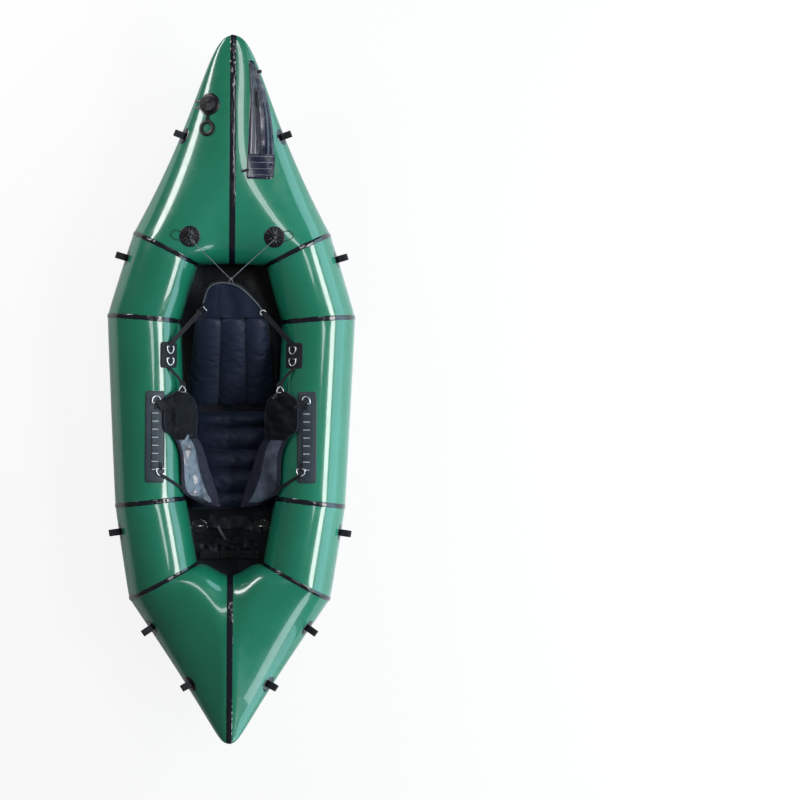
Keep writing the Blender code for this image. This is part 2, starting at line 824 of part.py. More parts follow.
# Metal D-rings, each in a webbing lug that is sewn to what carries it
def d_ring(name, frame):
    """A D-shaped wire ring whose straight bar lies on the frame's X axis."""
    curve = bpy.data.curves.new(name, "CURVE")
    curve.dimensions = "3D"
    curve.bevel_depth = RING_WIRE
    curve.bevel_resolution = 1
    curve.use_fill_caps = True
    points = [(RING_WIDTH / 2, 0), (-RING_WIDTH / 2, 0)]
    arc = WIRE_SIDES - 2
    for k in range(arc):
        turn = math.pi * (1 - (k + 0.5) / arc)
        reach = RING_REACH * mix(RING_SHOULDER_SHARE, 1, math.sin(turn))
        points.append((RING_WIDTH / 2 * math.cos(turn), reach))
    line = curve.splines.new("POLY")
    line.points.add(len(points) - 1)
    for point, (x, y) in zip(line.points, points):
        point.co = (x, y, 0, 1)
    line.use_cyclic_u = True
    curve.materials.append(finish("ring_steel"))
    made = bpy.data.objects.new(name, curve)
    PARTS.objects.link(made)
    made.matrix_world = frame
    return made


def bar_frame(surface, base_height):
    """The bar's frame for a ring that lies on a surface of the given height."""
    return surface @ Matrix.Translation((0, 0, base_height + LUG_RADIUS - LUG_SINK))


def add_lug(carrier, frame, name):
    """Sews a webbing lug on a carrier and opens it for the ring's bar."""
    across = frame @ Matrix.Rotation(math.pi / 2, 4, "Y")
    lug = cylinder_cutter(f"{name}_lug", LUG_RADIUS, LUG_WIDTH / 2, across, WIRE_SIDES)
    boolean(carrier, lug, "UNION")
    boolean(carrier, cylinder_cutter(f"{name}_bore", LUG_BORE, LUG_WIDTH, across, WIRE_SIDES))


def reversed_frame(frame):
    return frame @ Matrix.Rotation(math.pi, 4, "Z")


# Tie-down loops of folded webbing
def loop_outline():
    """The side view of a folded loop: straight runs joined by half rounds."""
    half = LOOP_HEIGHT / 2
    turns = [math.pi * (0.5 + k / LOOP_TURNS) for k in range(LOOP_TURNS + 1)]
    points = [(half * math.cos(turn), half * math.sin(turn)) for turn in turns]
    far = [(LOOP_REACH - x, -z) for x, z in points]
    return points + far


def hull_corner_frame(part, share, side):
    """A frame on the hull's outboard face: X along the boat, Z straight out of the hull."""
    step = math.radians(LOOP_DEG) / 2
    low, high = math.radians(LOOP_DEG) - step, math.radians(LOOP_DEG) + step
    place = SIDE_LINES[part]
    a, b = place(low, share), place(high, share)
    beyond = share + NUDGE_SHARE
    ahead = (place(low, beyond) + place(high, beyond)) / 2 - (a + b) / 2
    normal = ahead.cross(b - a).normalized()
    if normal.x < 0:
        normal = -normal
    point = (a + b) / 2
    if side < 0:
        point.x, normal.x, ahead.x = -point.x, -normal.x, -ahead.x
    return frame_at(point, ahead, normal)


SIDE_LINES = {
    "stern": lambda angle, share: end_point("stern", angle, share),
    "bow": lambda angle, share: end_point("bow", angle, share),
    "aft": lambda angle, share: mix(seam_point("stern", angle), seam_point("aft", angle), share),
    "fore": lambda angle, share: mix(seam_point("fore", angle), seam_point("bow", angle), share),
}


def make_tie_loops():
    for word, (part, share) in LOOP_PLACE_SHARES.items():
        for side_word, side in SIDES.items():
            frame = hull_corner_frame(part, share, side)
            root = LOOP_HEIGHT / 2 + CLEARANCE
            rows = [
                [Vector((end * WEBBING_WIDTH / 2, z, root + x)) for x, z in loop_outline()]
                for end in (-1, 1)
            ]
            mesh = sheet_mesh(f"{word}_{side_word}", rows, True)
            face_out(mesh, None)
            made = add_object(f"{word}_{side_word}", mesh, "webbing_black")
            solidify(made, WEBBING, outward=False)
            made.data.transform(Matrix.Translation((0, 0, -root)))
            made.matrix_world = frame @ Matrix.Translation((0, 0, root))


# Seat and backrest
def cushion_mesh(name, columns, rows, shape):
    """A slab cut into cells, each point of which is placed by shape(a, b, top)."""
    mesh = bpy.data.meshes.new(name)
    form = bmesh.new()
    bmesh.ops.create_cube(form, size=2)
    for axis, cells in ((0, columns), (1, rows)):
        lines = [e for e in form.edges if abs(e.verts[0].co[axis] - e.verts[1].co[axis]) > 1]
        bmesh.ops.subdivide_edges(form, edges=lines, cuts=cells - 1, use_grid_fill=True)
    for vert in form.verts:
        vert.co = shape(vert.co.x, (vert.co.y + 1) / 2, vert.co.z > 0)
    bmesh.ops.recalc_face_normals(form, faces=form.faces)
    form.to_mesh(mesh)
    form.free()
    return mesh


def channel_place(share, edges):
    """Where an even share falls once the cells follow the channels, and its crown there."""
    span = (share - edges[0]) / (edges[-1] - edges[0]) * (len(edges) - 1)
    low = min(int(span + FINE_SHARE), len(edges) - 2)
    within = span - low
    return mix(edges[low], edges[low + 1], within), math.sqrt(max(0.0, math.sin(math.pi * within)))


def make_seat():
    floor_tree = tree_of(FLOOR)
    squareness, rounding = SEAT_EDGE_POWERS

    def shape(a, b, top):
        along, crown = channel_place(b, SEAT_CHANNEL_SHARES)
        drawn = 1 - SEAT_WAIST_SHARE * (1 - crown) * abs(a) ** squareness
        x = a * SEAT_WIDTH / 2 * drawn
        y = SEAT_REAR - along * SEAT_LENGTH
        under = cast_down(floor_tree, x, y).z + CLEARANCE
        if not top:
            return Vector((x, y, under))
        edge = (1 - abs(a) ** squareness) ** rounding
        end = min(1.0, (min(b, 1 - b) / SEAT_END_SHARE) ** rounding)
        full = mix(SEAT_VALLEY, SEAT_THICKNESS, crown)
        return Vector((x, y, under + mix(SEAT_EDGE, full, edge * end)))

    cells = CHANNEL_CELLS * (len(SEAT_CHANNEL_SHARES) - 1)
    add_object("seat", cushion_mesh("seat", SEAT_COLUMNS, cells, shape), "cushion_navy")


def back_profile(row):
    """Distance from the pivot, half width and half thickness at a row of the backrest."""
    half = BACK_THICKNESS / 2
    if row <= BACK_HEEL_ROWS:
        turn = math.radians(mix(HEEL_FROM_DEG, 90, row / BACK_HEEL_ROWS))
        heel = BACK_VALLEY / 2
        return -heel * math.cos(turn), BACK_FOOT_WIDTH / 2, heel * math.sin(turn)
    share = (row - BACK_HEEL_ROWS) / BACK_BODY_ROWS
    if share <= 1:
        width = mix(BACK_FOOT_WIDTH, BACK_HEAD_WIDTH, share) / 2
        fall = max(0.0, share - BACK_TAPER_SHARE) / (1 - BACK_TAPER_SHARE)
        return BACK_LENGTH * share, width, mix(half, BACK_FLAP_THICKNESS / 2, fall**2)
    share = (row - BACK_HEEL_ROWS - BACK_BODY_ROWS) / BACK_FLAP_ROWS
    width = mix(BACK_FLAP_FOOT_WIDTH, BACK_FLAP_HEAD_WIDTH, share) / 2
    return BACK_LENGTH + BACK_FLAP_LENGTH * share, width, BACK_FLAP_THICKNESS / 2


def back_frame():
    """The backrest's pivot: X is the hinge, Y runs up the backrest, Z out of its front."""
    floor_top = cast_down(tree_of(FLOOR), 0, BACK_PIVOT_Y).z
    origin = Vector((0, BACK_PIVOT_Y, floor_top + CLEARANCE + BACK_VALLEY / 2))
    return Matrix.Translation(origin) @ Matrix.Rotation(math.radians(BACK_RECLINE_DEG), 4, "X")


def make_backrest():
    rows = BACK_HEEL_ROWS + BACK_BODY_ROWS + BACK_FLAP_ROWS
    columns = CHANNEL_CELLS * (len(BACK_CHANNEL_SHARES) - 1)
    valley = BACK_VALLEY / BACK_THICKNESS
    squareness, rounding = BACK_EDGE_POWERS

    def shape(a, b, top):
        row = round(b * rows)
        place, half_width, half_depth = back_profile(row)
        across, crown = channel_place(a, BACK_CHANNEL_SHARES)
        on_body = BACK_HEEL_ROWS < row < BACK_HEEL_ROWS + BACK_BODY_ROWS
        full = mix(valley, 1, crown) if on_body else 1
        edge = (1 - abs(across) ** squareness) ** rounding
        depth = half_depth * mix(BACK_EDGE_SHARE, full, edge)
        return Vector((across * half_width, place, depth if top else -depth))

    made = add_object("backrest", cushion_mesh("backrest", columns, rows, shape), "cushion_navy")
    made.matrix_world = BACK_FRAME


# Straps
def ribbon(name, rows, thickness, material):
    mesh = sheet_mesh(name, rows, False)
    face_out(mesh, Vector((0, 0, 1)))
    made = add_object(name, mesh, material)
    step = made.modifiers.new("thickness", "SOLIDIFY")
    step.thickness = thickness
    step.offset = 0
    step.use_even_offset = True
    return made


def tube_top():
    return AXIS_HEIGHT + TUBE_RADIUS


def thigh_rows(side):
    rows = []
    for outer, inner, heights in THIGH_STRAP_SHARES:
        a = Vector((*plan(outer, side), heights[0] * tube_top()))
        b = Vector((*plan(inner, side), heights[1] * tube_top()))
        crown = Vector((0, 0, STRAP_THICKNESS)) if (a - b).length > WEBBING_WIDTH * 2 else Vector()
        rows.append([a, mix(a, b, 0.5) + crown, b])
    return rows


def make_thigh_straps():
    for word, side in SIDES.items():
        made = ribbon(f"thigh_strap_{word}", thigh_rows(side), STRAP_THICKNESS, "webbing_black")
        x = side * THIGH_AXIS_SHARE[0] * AXIS_SPREAD
        y = STRIP_PLACE_SHARE[1] * HALF_LENGTH
        origin = Vector((x, y, THIGH_AXIS_SHARE[1] * tube_top()))
        set_pivot(made, frame_at(origin, Vector((0, side, 0)), Vector((0, 0, 1))))


def make_back_straps():
    """Webbing from the backrest's shoulders to the patches on the tube."""
    across, up = BACK_STRAP_START_SHARES
    for word, side in SIDES.items():
        lap = BACK_FLAP_THICKNESS / 2 + CLEARANCE + WEBBING / 2
        flap = Vector((side * across * BACK_FLAP_FOOT_WIDTH / 2, BACK_LENGTH + up * BACK_FLAP_LENGTH, lap))
        start = BACK_FRAME @ flap
        landing = hull_frame(*plan(BACK_STRAP_END_SHARE, side), BACK_STRAP_WIDTH / 2)
        end = landing @ Vector((0, 0, PATCH_THICKNESS + CLEARANCE + WEBBING / 2))
        run = (end - start).normalized()
        rows = []
        for k in range(BACK_STRAP_CELLS + 1):
            share = k / BACK_STRAP_CELLS
            normal = mix(BACK_FRAME.col[2].xyz, landing.col[2].xyz, share)
            wide = run.cross(normal).normalized() * BACK_STRAP_WIDTH / 2
            middle = mix(start, end, share)
            rows.append([middle - wide, middle + wide])
        ribbon(f"backrest_strap_{word}", rows, WEBBING, "webbing_black")


# Patches, strips and rings on the tube
def make_strips():
    for word, side in SIDES.items():
        grid = plan_grid(plan(STRIP_PLACE_SHARE, side), STRIP_WIDTH, STRIP_LENGTH, PATCH_COLUMNS, STRIP_ROWS)
        strip = draped(f"adjust_strip_{word}", grid, "strip_grey", PATCH_THICKNESS)
        for end, place in (("aft", AFT_RING_PLACE_SHARE), ("fore", FORE_RING_PLACE_SHARE)):
            surface = hull_frame(*plan(place, side), RING_WIDTH / 2)
            frame = bar_frame(surface, PATCH_THICKNESS)
            if end == "fore":
                frame = reversed_frame(frame)
            add_lug(strip, frame, f"strip_ring_{end}_{word}")
            d_ring(f"strip_ring_{end}_{word}", frame)


def make_side_patches():
    for word, side in SIDES.items():
        centre = plan(SIDE_PATCH_PLACE_SHARE, side)
        grid = plan_grid(centre, SIDE_PATCH_WIDTH, SIDE_PATCH_LENGTH, PATCH_COLUMNS, SIDE_PATCH_ROWS)
        patch = draped(f"side_patch_{word}", grid, "webbing_black", PATCH_THICKNESS)
        for end, place in PATCH_RING_PLACE_SHARES.items():
            surface = hull_frame(*plan(place, side), RING_WIDTH / 2)
            frame = reversed_frame(bar_frame(surface, PATCH_THICKNESS))
            add_lug(patch, frame, f"patch_ring_{end}_{word}")
            d_ring(f"patch_ring_{end}_{word}", frame)


def make_floor_rings():
    floor_tree = tree_of(FLOOR)
    for word, side in SIDES.items():
        x, y = plan(FLOOR_RING_PLACE_SHARE, side)
        surface = Matrix.Translation(cast_down(floor_tree, x, y))
        frame = bar_frame(surface, 0)
        add_lug(FLOOR, frame, f"floor_ring_{word}")
        d_ring(f"floor_ring_{word}", frame @ Matrix.Rotation(math.pi / 2, 4, "X"))


def make_foot_strap():
    floor_tree = tree_of(FLOOR)
    x, y = plan(FOOT_STRAP_PLACE_SHARE)
    rows = []
    for k in range(FOOT_STRAP_CELLS + 1):
        share = k / FOOT_STRAP_CELLS
        across = x + FOOT_STRAP_LENGTH * (share - 0.5)
        height = CLEARANCE * 2 + WEBBING / 2 + FOOT_STRAP_HUMP * math.sin(math.pi * share)
        row = []
        for along in (y - FOOT_STRAP_WIDTH / 2, y + FOOT_STRAP_WIDTH / 2):
            row.append(cast_down(floor_tree, across, along) + Vector((0, 0, height)))
        rows.append(row)
    ribbon("foot_strap", rows, WEBBING, "webbing_black")


# Stern cord: from disc to disc, knotted at the backrest's top edge
def make_anchors():
    for word, side in SIDES.items():
        grid = round_grid(plan(ANCHOR_PLACE_SHARE, side), ANCHOR_RADIUS, DISC_RINGS, TUBE_SIDES)
        draped(f"cord_anchor_{word}", grid, "webbing_black", PATCH_THICKNESS, closed=True, cap=True)


def make_cord():
    head = BACK_FRAME @ Vector((0, BACK_LENGTH + BACK_FLAP_LENGTH, 0))
    knot = head + Vector((0, KNOT_RADIUS + CLEARANCE * 3, 0))
    ends = []
    for side in (-1, 1):
        x, y = plan(ANCHOR_PLACE_SHARE, side)
        place = cast_down(HULL_TREE, x, y - ANCHOR_RADIUS / 4)
        ends.append(place + Vector((0, 0, PATCH_THICKNESS * 2 + CORD_RADIUS * 2)))
    along = (ends[1] - ends[0]).normalized() * KNOT_RADIUS
    shares = [k / CORD_CELLS for k in range(CORD_CELLS)]
    line = [mix(ends[0], knot, share) for share in shares]
    line += [knot - along, knot, knot + along]
    line += [mix(ends[1], knot, share) for share in shares[::-1]]
    curve = bpy.data.curves.new("backrest_cord", "CURVE")
    curve.dimensions = "3D"
    curve.bevel_depth = CORD_RADIUS
    curve.bevel_resolution = 2
    curve.use_fill_caps = True
    spline = curve.splines.new("POLY")
    spline.points.add(len(line) - 1)
    for point, place in zip(spline.points, line):
        point.co = (*place, 1)
    for point in spline.points[CORD_CELLS:-CORD_CELLS]:
        point.radius = KNOT_RADIUS / CORD_RADIUS
    curve.materials.append(finish("cord_grey"))
    PARTS.objects.link(bpy.data.objects.new("backrest_cord", curve))


# Inflation valve on the starboard side of the stern
def make_valve():
    frame = hull_frame(*stern_plan(VALVE_PLACE_SHARE), VALVE_FLANGE_RADIUS)
    lip = VALVE_FLANGE
    top = lip + VALVE_COLLAR_HEIGHT
    base = turned(
        "valve_base",
        [
            (0, lip),
            (VALVE_FLANGE_RADIUS - lip, lip),
            (VALVE_FLANGE_RADIUS, lip / 2),
            (VALVE_FLANGE_RADIUS, -CUT_DEPTH),
            (0, -CUT_DEPTH),
        ],
        frame,
        "valve_black",
    )
    boolean(base, ENVELOPE)
    barrel_depth = (top + VALVE_BARREL_DEPTH) / 2
    middle = frame @ Matrix.Translation((0, 0, top - barrel_depth))
    collar = frame @ Matrix.Translation((0, 0, top - VALVE_COLLAR_HEIGHT / 2 - lip / 4))
    for name, radius, depth, place in (
        ("valve_barrel", VALVE_BARREL_RADIUS, barrel_depth, middle),
        ("valve_collar", VALVE_COLLAR_RADIUS, VALVE_COLLAR_HEIGHT / 2 + lip / 4, collar),
    ):
        boolean(base, cylinder_cutter(name, radius, depth, place, TURNED_STEPS), "UNION")
    bore = cylinder_cutter("valve_bore", VALVE_BORE_RADIUS, VALVE_BARREL_DEPTH * 2, frame, TURNED_STEPS)
    boolean(base, bore)
    poppet_radius = VALVE_BORE_RADIUS - POPPET_GAP
    poppet = turned(
        "valve_poppet",
        [
            (0, 0),
            (poppet_radius, 0),
            (poppet_radius, -POPPET_DISC),
            (POPPET_STEM_RADIUS, -POPPET_DISC),
            (POPPET_STEM_RADIUS, -POPPET_STEM),
            (0, -POPPET_STEM),
        ],
        frame @ Matrix.Translation((0, 0, top - POPPET_RECESS)),
        "valve_black",
    )
    poppet.matrix_world = upright_axis(poppet.matrix_world)
    poppet.data.transform(upright_axis(Matrix()).inverted())
    poppet.modifiers["turn"].axis = "X"
    make_cap(frame, lip, top)
    make_keeper(frame)


def upright_axis(frame):
    """The same frame turned so that its X axis is the old Z axis."""
    return frame @ Matrix(((0, 0, -1), (0, 1, 0), (1, 0, 0))).to_4x4()


def make_cap(frame, lip, top):
    """A screw cap with ring-shaped ridges, which reaches down round the collar."""
    under = top + CLEARANCE
    skirt = VALVE_COLLAR_RADIUS / math.cos(math.pi / TURNED_STEPS) + CLEARANCE
    crest = under + CAP_TOP
    ridges = []
    for share in CAP_RIDGE_SHARES:
        middle = share * CAP_RADIUS
        ridges += [
            (middle - CAP_RIDGE, crest),
            (middle, crest + CAP_RIDGE),
            (middle + CAP_RIDGE, crest),
        ]
    profile = [(0, crest)] + ridges + [
        (CAP_RADIUS - CAP_RIDGE, crest),
        (CAP_RADIUS, crest - CAP_RIDGE),
        (CAP_RADIUS, lip + CLEARANCE),
        (skirt, lip + CLEARANCE),
        (skirt, under),
        (0, under),
    ]
    cap = turned("valve_cap", profile, frame, "valve_black")
    cap.data.transform(upright_axis(Matrix()).inverted())
    cap.matrix_world = upright_axis(frame)
    cap.modifiers["turn"].axis = "X"


def make_keeper(valve):
    """The flat ring that keeps the cap, tethered to the flange and lying on the hull."""
    frame = hull_frame(*stern_plan(KEEPER_PLACE_SHARE), KEEPER_OUTER_RADIUS)
    made = cylinder("valve_keeper", KEEPER_OUTER_RADIUS, KEEPER_THICKNESS, frame, TURNED_STEPS)
    made.data.transform(frame)
    made.matrix_world = Matrix()
    start = valve.translation.copy()
    run = frame.translation - start
    run.normalize()
    edge = start + run * (VALVE_FLANGE_RADIUS + CLEARANCE * 2)
    reach = (frame.translation - edge).length - KEEPER_INNER_RADIUS - KEEPER_THICKNESS
    tether_frame = frame_at(edge + run * reach / 2, run.cross(frame.col[2].xyz), frame.col[2].xyz)
    tether = box("valve_tether", (TETHER_WIDTH, reach, KEEPER_THICKNESS * 2), tether_frame)
    boolean(made, as_cutter(tether), "UNION")
    hole = cylinder_cutter("keeper_hole", KEEPER_INNER_RADIUS, KEEPER_OUTER_RADIUS, frame, TURNED_STEPS)
    boolean(made, hole)
    boolean(made, ENVELOPE)
    hinge = edge + frame.col[2].xyz * KEEPER_THICKNESS
    set_pivot(made, frame_at(hinge, run.cross(frame.col[2].xyz), frame.col[2].xyz))


def box(name, size, frame, material="valve_black"):
    mesh = bpy.data.meshes.new(name)
    form = bmesh.new()
    bmesh.ops.create_cube(form, size=1, matrix=Matrix.Diagonal((*size, 1)))
    form.to_mesh(mesh)
    form.free()
    made = add_object(name, mesh, material)
    made.matrix_world = frame
    return made


# Cargo zip: a flat flap with its chain on a shallow arc, and a slider that runs on it
def zip_arc():
    """The centre, axis and ends of the arc that the chain follows, square to the skin."""
    a, c = [cast_down(HULL_TREE, *stern_plan(place)) for place in ZIP_TRACK_SHARES]
    middle = (a + c) / 2
    skin_frame = hull_frame(middle.x, middle.y, SLIDER_WIDTH)
    out = skin_frame.col[2].xyz
    b = middle + out * (skin_frame.translation - middle).dot(out)
    ab = b - a
    ac = c - a
    across = ab.cross(ac)
    toward = across.cross(ab) * ac.length_squared + ac.cross(across) * ab.length_squared
    centre = a + toward / (2 * across.length_squared)
    return centre, across.normalized(), a, c


def down_table(table, share):
    """The values at an even share down a table of rows."""
    place = share * (len(table) - 1)
    k = min(int(place), len(table) - 2)
    return [mix(a, b, place - k) for a, b in zip(table[k], table[k + 1])]


def make_zip():
    grid = []
    for j in range(ZIP_ROWS + 1):
        inner, outer, along = down_table(ZIP_EDGE_SHARES, j / ZIP_ROWS)
        shares = [mix(inner, outer, k / ZIP_COLUMNS) for k in range(ZIP_COLUMNS + 1)]
        grid.append([stern_plan((across, along)) for across in shares])
    centre, axis, start, stop = zip_arc()
    total = (start - centre).angle(stop - centre)
    chain_top = arc_bulge(centre, axis, start, total) + ZIP_THICKNESS + ZIP_CHAIN_HEIGHT
    chain = chain_strip(centre, axis, start, total, chain_top)
    draped("zip_flap", grid, "zip_navy", ZIP_THICKNESS, raised=chain)
    make_slider(centre, axis, start, chain_top)


def arc_bulge(centre, axis, start, total):
    """The most by which the skin stands above the chain's arc where the slider runs."""
    most = 0.0
    for k in range(CHAIN_CELLS + 1):
        arm = Matrix.Rotation(total * k / CHAIN_CELLS, 3, axis) @ (start - centre)
        up = arm.normalized() if arm.z > 0 else -arm.normalized()
        for side in (-1, 0, 1):
            point = centre + arm + axis * side * SLIDER_WIDTH / 2
            most = max(most, (cast_down(HULL_TREE, point.x, point.y) - point).dot(up))
    return most


def chain_strip(centre, axis, start, total, chain_top):
    """The raised chain as a bar swept about the arc's centre."""
    sign = 1 if (start - centre).z > 0 else -1
    wide = axis * ZIP_CHAIN_WIDTH / 2
    bottom = -CUT_DEPTH
    rows = []
    for k in range(CHAIN_CELLS + 1):
        arm = Matrix.Rotation(total * k / CHAIN_CELLS, 3, axis) @ (start - centre)
        low = centre + arm + arm.normalized() * sign * bottom
        high = centre + arm + arm.normalized() * sign * chain_top
        rows.append([low - wide, low + wide, high + wide, high - wide])
    return closed_bar("zip_chain", rows, "zip_navy")


def make_slider(centre, axis, start, chain_top):
    up = (start - centre).normalized()
    out = up if up.z > 0 else -up
    run = axis.cross(up)
    lift_off = chain_top + CLEARANCE * 2 + SLIDER_HEIGHT / 2
    first = SLIDER_LENGTH / 2 / (start - centre).length
    turn = Matrix.Rotation(first, 3, axis)
    place = centre + turn @ (start - centre) + (turn @ out) * lift_off
    frame = frame_at(place, axis, turn @ out)
    made = box("zip_slider", (SLIDER_WIDTH, SLIDER_LENGTH, SLIDER_HEIGHT), frame, "ring_steel")
    made.data.transform(frame)
    made.matrix_world = Matrix()
    ahead = (turn @ run).normalized()
    middle = place + ahead * (SLIDER_LENGTH / 2 + PULL_LENGTH / 2 - PULL_THICKNESS)
    pull = box("zip_pull", (PULL_WIDTH, PULL_LENGTH, PULL_THICKNESS), frame_at(middle, axis, turn @ out))
    boolean(made, as_cutter(pull), "UNION")
    set_pivot(made, frame_at(centre, axis, out))


def shade_round():
    """Smooth shading with sharp edges kept, on every mesh part."""
    for obj in PARTS.objects:
        if obj.type == "MESH":
            obj.data.shade_smooth()
            obj.data.set_sharp_from_angle(angle=math.radians(SHARP_DEG))


ENVELOPE = envelope()
HULL_TREE = tree_of(ENVELOPE)
make_hull()
make_tapes()
FLOOR = make_floor()
BACK_FRAME = back_frame()
make_edge_tape()
make_seat()
make_backrest()
make_tie_loops()
make_strips()
make_side_patches()
make_back_straps()
make_thigh_straps()
make_floor_rings()
make_foot_strap()
make_anchors()
make_cord()
make_valve()
make_zip()
shade_round()
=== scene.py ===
"""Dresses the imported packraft: rounder hull, crinkled tapes, floor, cushions, straps, rings,
valve, zip and cord, with procedural materials, plain studio light and the photo's camera."""

import json
import math
from contextlib import contextmanager

import bmesh
import bpy
import numpy as np
from mathutils import Matrix, Vector, noise
from mathutils.bvhtree import BVHTree

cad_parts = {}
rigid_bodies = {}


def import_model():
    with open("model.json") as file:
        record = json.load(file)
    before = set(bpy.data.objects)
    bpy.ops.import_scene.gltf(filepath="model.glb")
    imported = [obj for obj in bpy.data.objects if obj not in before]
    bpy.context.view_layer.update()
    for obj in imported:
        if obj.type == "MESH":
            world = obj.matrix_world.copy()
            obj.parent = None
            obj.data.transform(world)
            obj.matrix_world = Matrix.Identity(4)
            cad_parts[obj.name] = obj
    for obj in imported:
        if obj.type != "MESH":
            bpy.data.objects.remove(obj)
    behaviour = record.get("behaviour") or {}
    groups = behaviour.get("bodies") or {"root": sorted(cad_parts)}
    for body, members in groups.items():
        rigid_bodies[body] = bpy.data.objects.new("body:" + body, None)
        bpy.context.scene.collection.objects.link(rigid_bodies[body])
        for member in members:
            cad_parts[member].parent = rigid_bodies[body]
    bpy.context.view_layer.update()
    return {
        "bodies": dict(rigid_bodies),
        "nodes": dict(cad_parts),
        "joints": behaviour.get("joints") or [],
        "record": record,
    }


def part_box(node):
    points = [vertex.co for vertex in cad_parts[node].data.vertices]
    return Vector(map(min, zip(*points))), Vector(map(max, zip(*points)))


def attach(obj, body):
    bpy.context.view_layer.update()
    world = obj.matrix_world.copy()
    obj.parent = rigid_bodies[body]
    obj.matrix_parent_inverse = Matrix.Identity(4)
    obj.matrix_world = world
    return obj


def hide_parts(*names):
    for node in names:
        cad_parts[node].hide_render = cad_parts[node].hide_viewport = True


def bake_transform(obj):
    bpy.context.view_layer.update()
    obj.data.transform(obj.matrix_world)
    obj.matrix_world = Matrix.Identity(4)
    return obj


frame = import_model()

# The hull's form, repeated from the CAD
HALF_LENGTH = 1.33
HALF_WIDTH = 0.47
RADIUS = 0.94 * 0.14787
SPREAD = HALF_WIDTH - RADIUS
AXIS_HEIGHT = RADIUS + 0.0019
ROUND = 1.004
MITRE_RISE = 0.025
TIP_RISE = 0.165
END_HALF_DEPTH = 0.200
SEAMS = {
    "stern": (0.760, 0.3985, 0.874, 0.432, 1.0),
    "aft": (1.000, 0.2008, 1.000, 0.079, 0.0),
    "fore": (0.9154, -0.3218, 0.957, -0.108, 0.0),
    "bow": (0.763, -0.548, 0.917, -0.475, 1.0),
}
PANELS = {"aft": ("stern", "aft"), "mid": ("aft", "fore"), "fore": ("fore", "bow")}
ENDS = {
    "stern": {"inner": 0.3586, "heading": (29.0, 87.0), "reach": (0.66, 0.33), "tip": (0.268, 0.33)},
    "bow": {"inner": -0.5308, "heading": (35.0, 109.0), "reach": (0.91, 0.33), "tip": (0.13, 0.30)},
}
OUTLINE = (
    (0.32, 0.716), (0.604, 0.656), (0.860, 0.545), (1.015, 0.462), (1.130, 0.376),
    (1.190, 0.291), (1.208, 0.226), (1.180, -0.203), (1.124, -0.398), (1.003, -0.585),
    (0.906, -0.641), (0.692, -0.707), (0.468, -0.757), (0.211, -0.792),
)
SIDES = {"port": 1, "starboard": -1}
AROUND = 96


def mix(a, b, share):
    return a + (b - a) * share


def smooth(share):
    share = min(1.0, max(0.0, share))
    return share * share * (3 - 2 * share)


def seam_points(seam, turns):
    across, along, half_across, half_along, rise = SEAMS[seam]
    out = np.cos(turns) * ROUND * RADIUS
    return np.stack(
        [
            across * SPREAD + half_across * out,
            along * HALF_LENGTH + half_along * out,
            AXIS_HEIGHT + rise * MITRE_RISE + np.sin(turns) * ROUND * RADIUS,
        ],
        1,
    )


def tip_points(end, turns):
    inner = ENDS[end]["inner"] * HALF_LENGTH
    tip = math.copysign(HALF_LENGTH, inner)
    share = (1 + np.cos(turns)) / 2
    half = END_HALF_DEPTH * np.sin(turns) * ROUND * (1 - 0.8 * share)
    middle = AXIS_HEIGHT + MITRE_RISE + (TIP_RISE - MITRE_RISE) * share**2.2
    return np.stack([share * 0, inner + (tip - inner) * share, middle + half], 1)


def end_points(end, turns, along):
    shape = ENDS[end]
    share = (1 + np.cos(turns)) / 2
    heading, reach, tip = (mix(shape[k][1], shape[k][0], share) for k in ("heading", "reach", "tip"))
    start = seam_points(end, turns)
    stop = tip_points(end, turns)
    ahead = math.copysign(1, SEAMS[end][1])
    chord = np.linalg.norm((stop - start)[:, :2], axis=1)
    turn = np.radians(heading)
    first = start + np.stack([-np.sin(turn), ahead * np.cos(turn), turn * 0], 1) * (chord * reach)[:, None]
    first[:, 2] = start[:, 2] + (stop[:, 2] - start[:, 2]) * 0.33
    second = stop + np.stack([start[:, 0] * tip, turn * 0, turn * 0], 1)
    left = 1 - along
    return start * left**3 + first * 3 * left**2 * along + second * 3 * left * along**2 + stop * along**3


def panel_points(panel, turns, along):
    first, last = PANELS[panel]
    a, b = seam_points(first, turns), seam_points(last, turns)
    line = a + (b - a) * along
    middle = line.mean(0)
    swell = 0.014 * math.sin(math.pi * along) ** 0.7 * np.clip(np.sin(turns) + 0.5, 0, 1)
    return line + (line - middle) * swell[:, None]


def hull_points(part, turns, along):
    return end_points(part, turns, along) if part in ENDS else panel_points(part, turns, along)


def turns_of(count):
    """Even angles round a full turn."""
    return np.arange(count) * 2 * math.pi / count


def eased(steps):
    """Shares from 0 to 1, closer together near both."""
    return [0.5 - 0.5 * math.cos(math.pi * k / steps) for k in range(steps + 1)]


def unit(vectors):
    return vectors / np.maximum(np.linalg.norm(vectors, axis=-1, keepdims=True), 1e-9)


def grid_normals(grid):
    return unit(np.cross(np.gradient(grid, axis=1), np.gradient(grid, axis=0)))


def last_true(test, low, high, steps=30):
    """Where a test between two values stops being true, found by halving."""
    for _ in range(steps):
        middle = (low + high) / 2
        if test(middle):
            low = middle
        else:
            high = middle
    return low


def wobble(x, y, z, scale, seed=0.0):
    return noise.noise(Vector((x * scale + seed, y * scale - seed, z * scale + 3.7 * seed)))


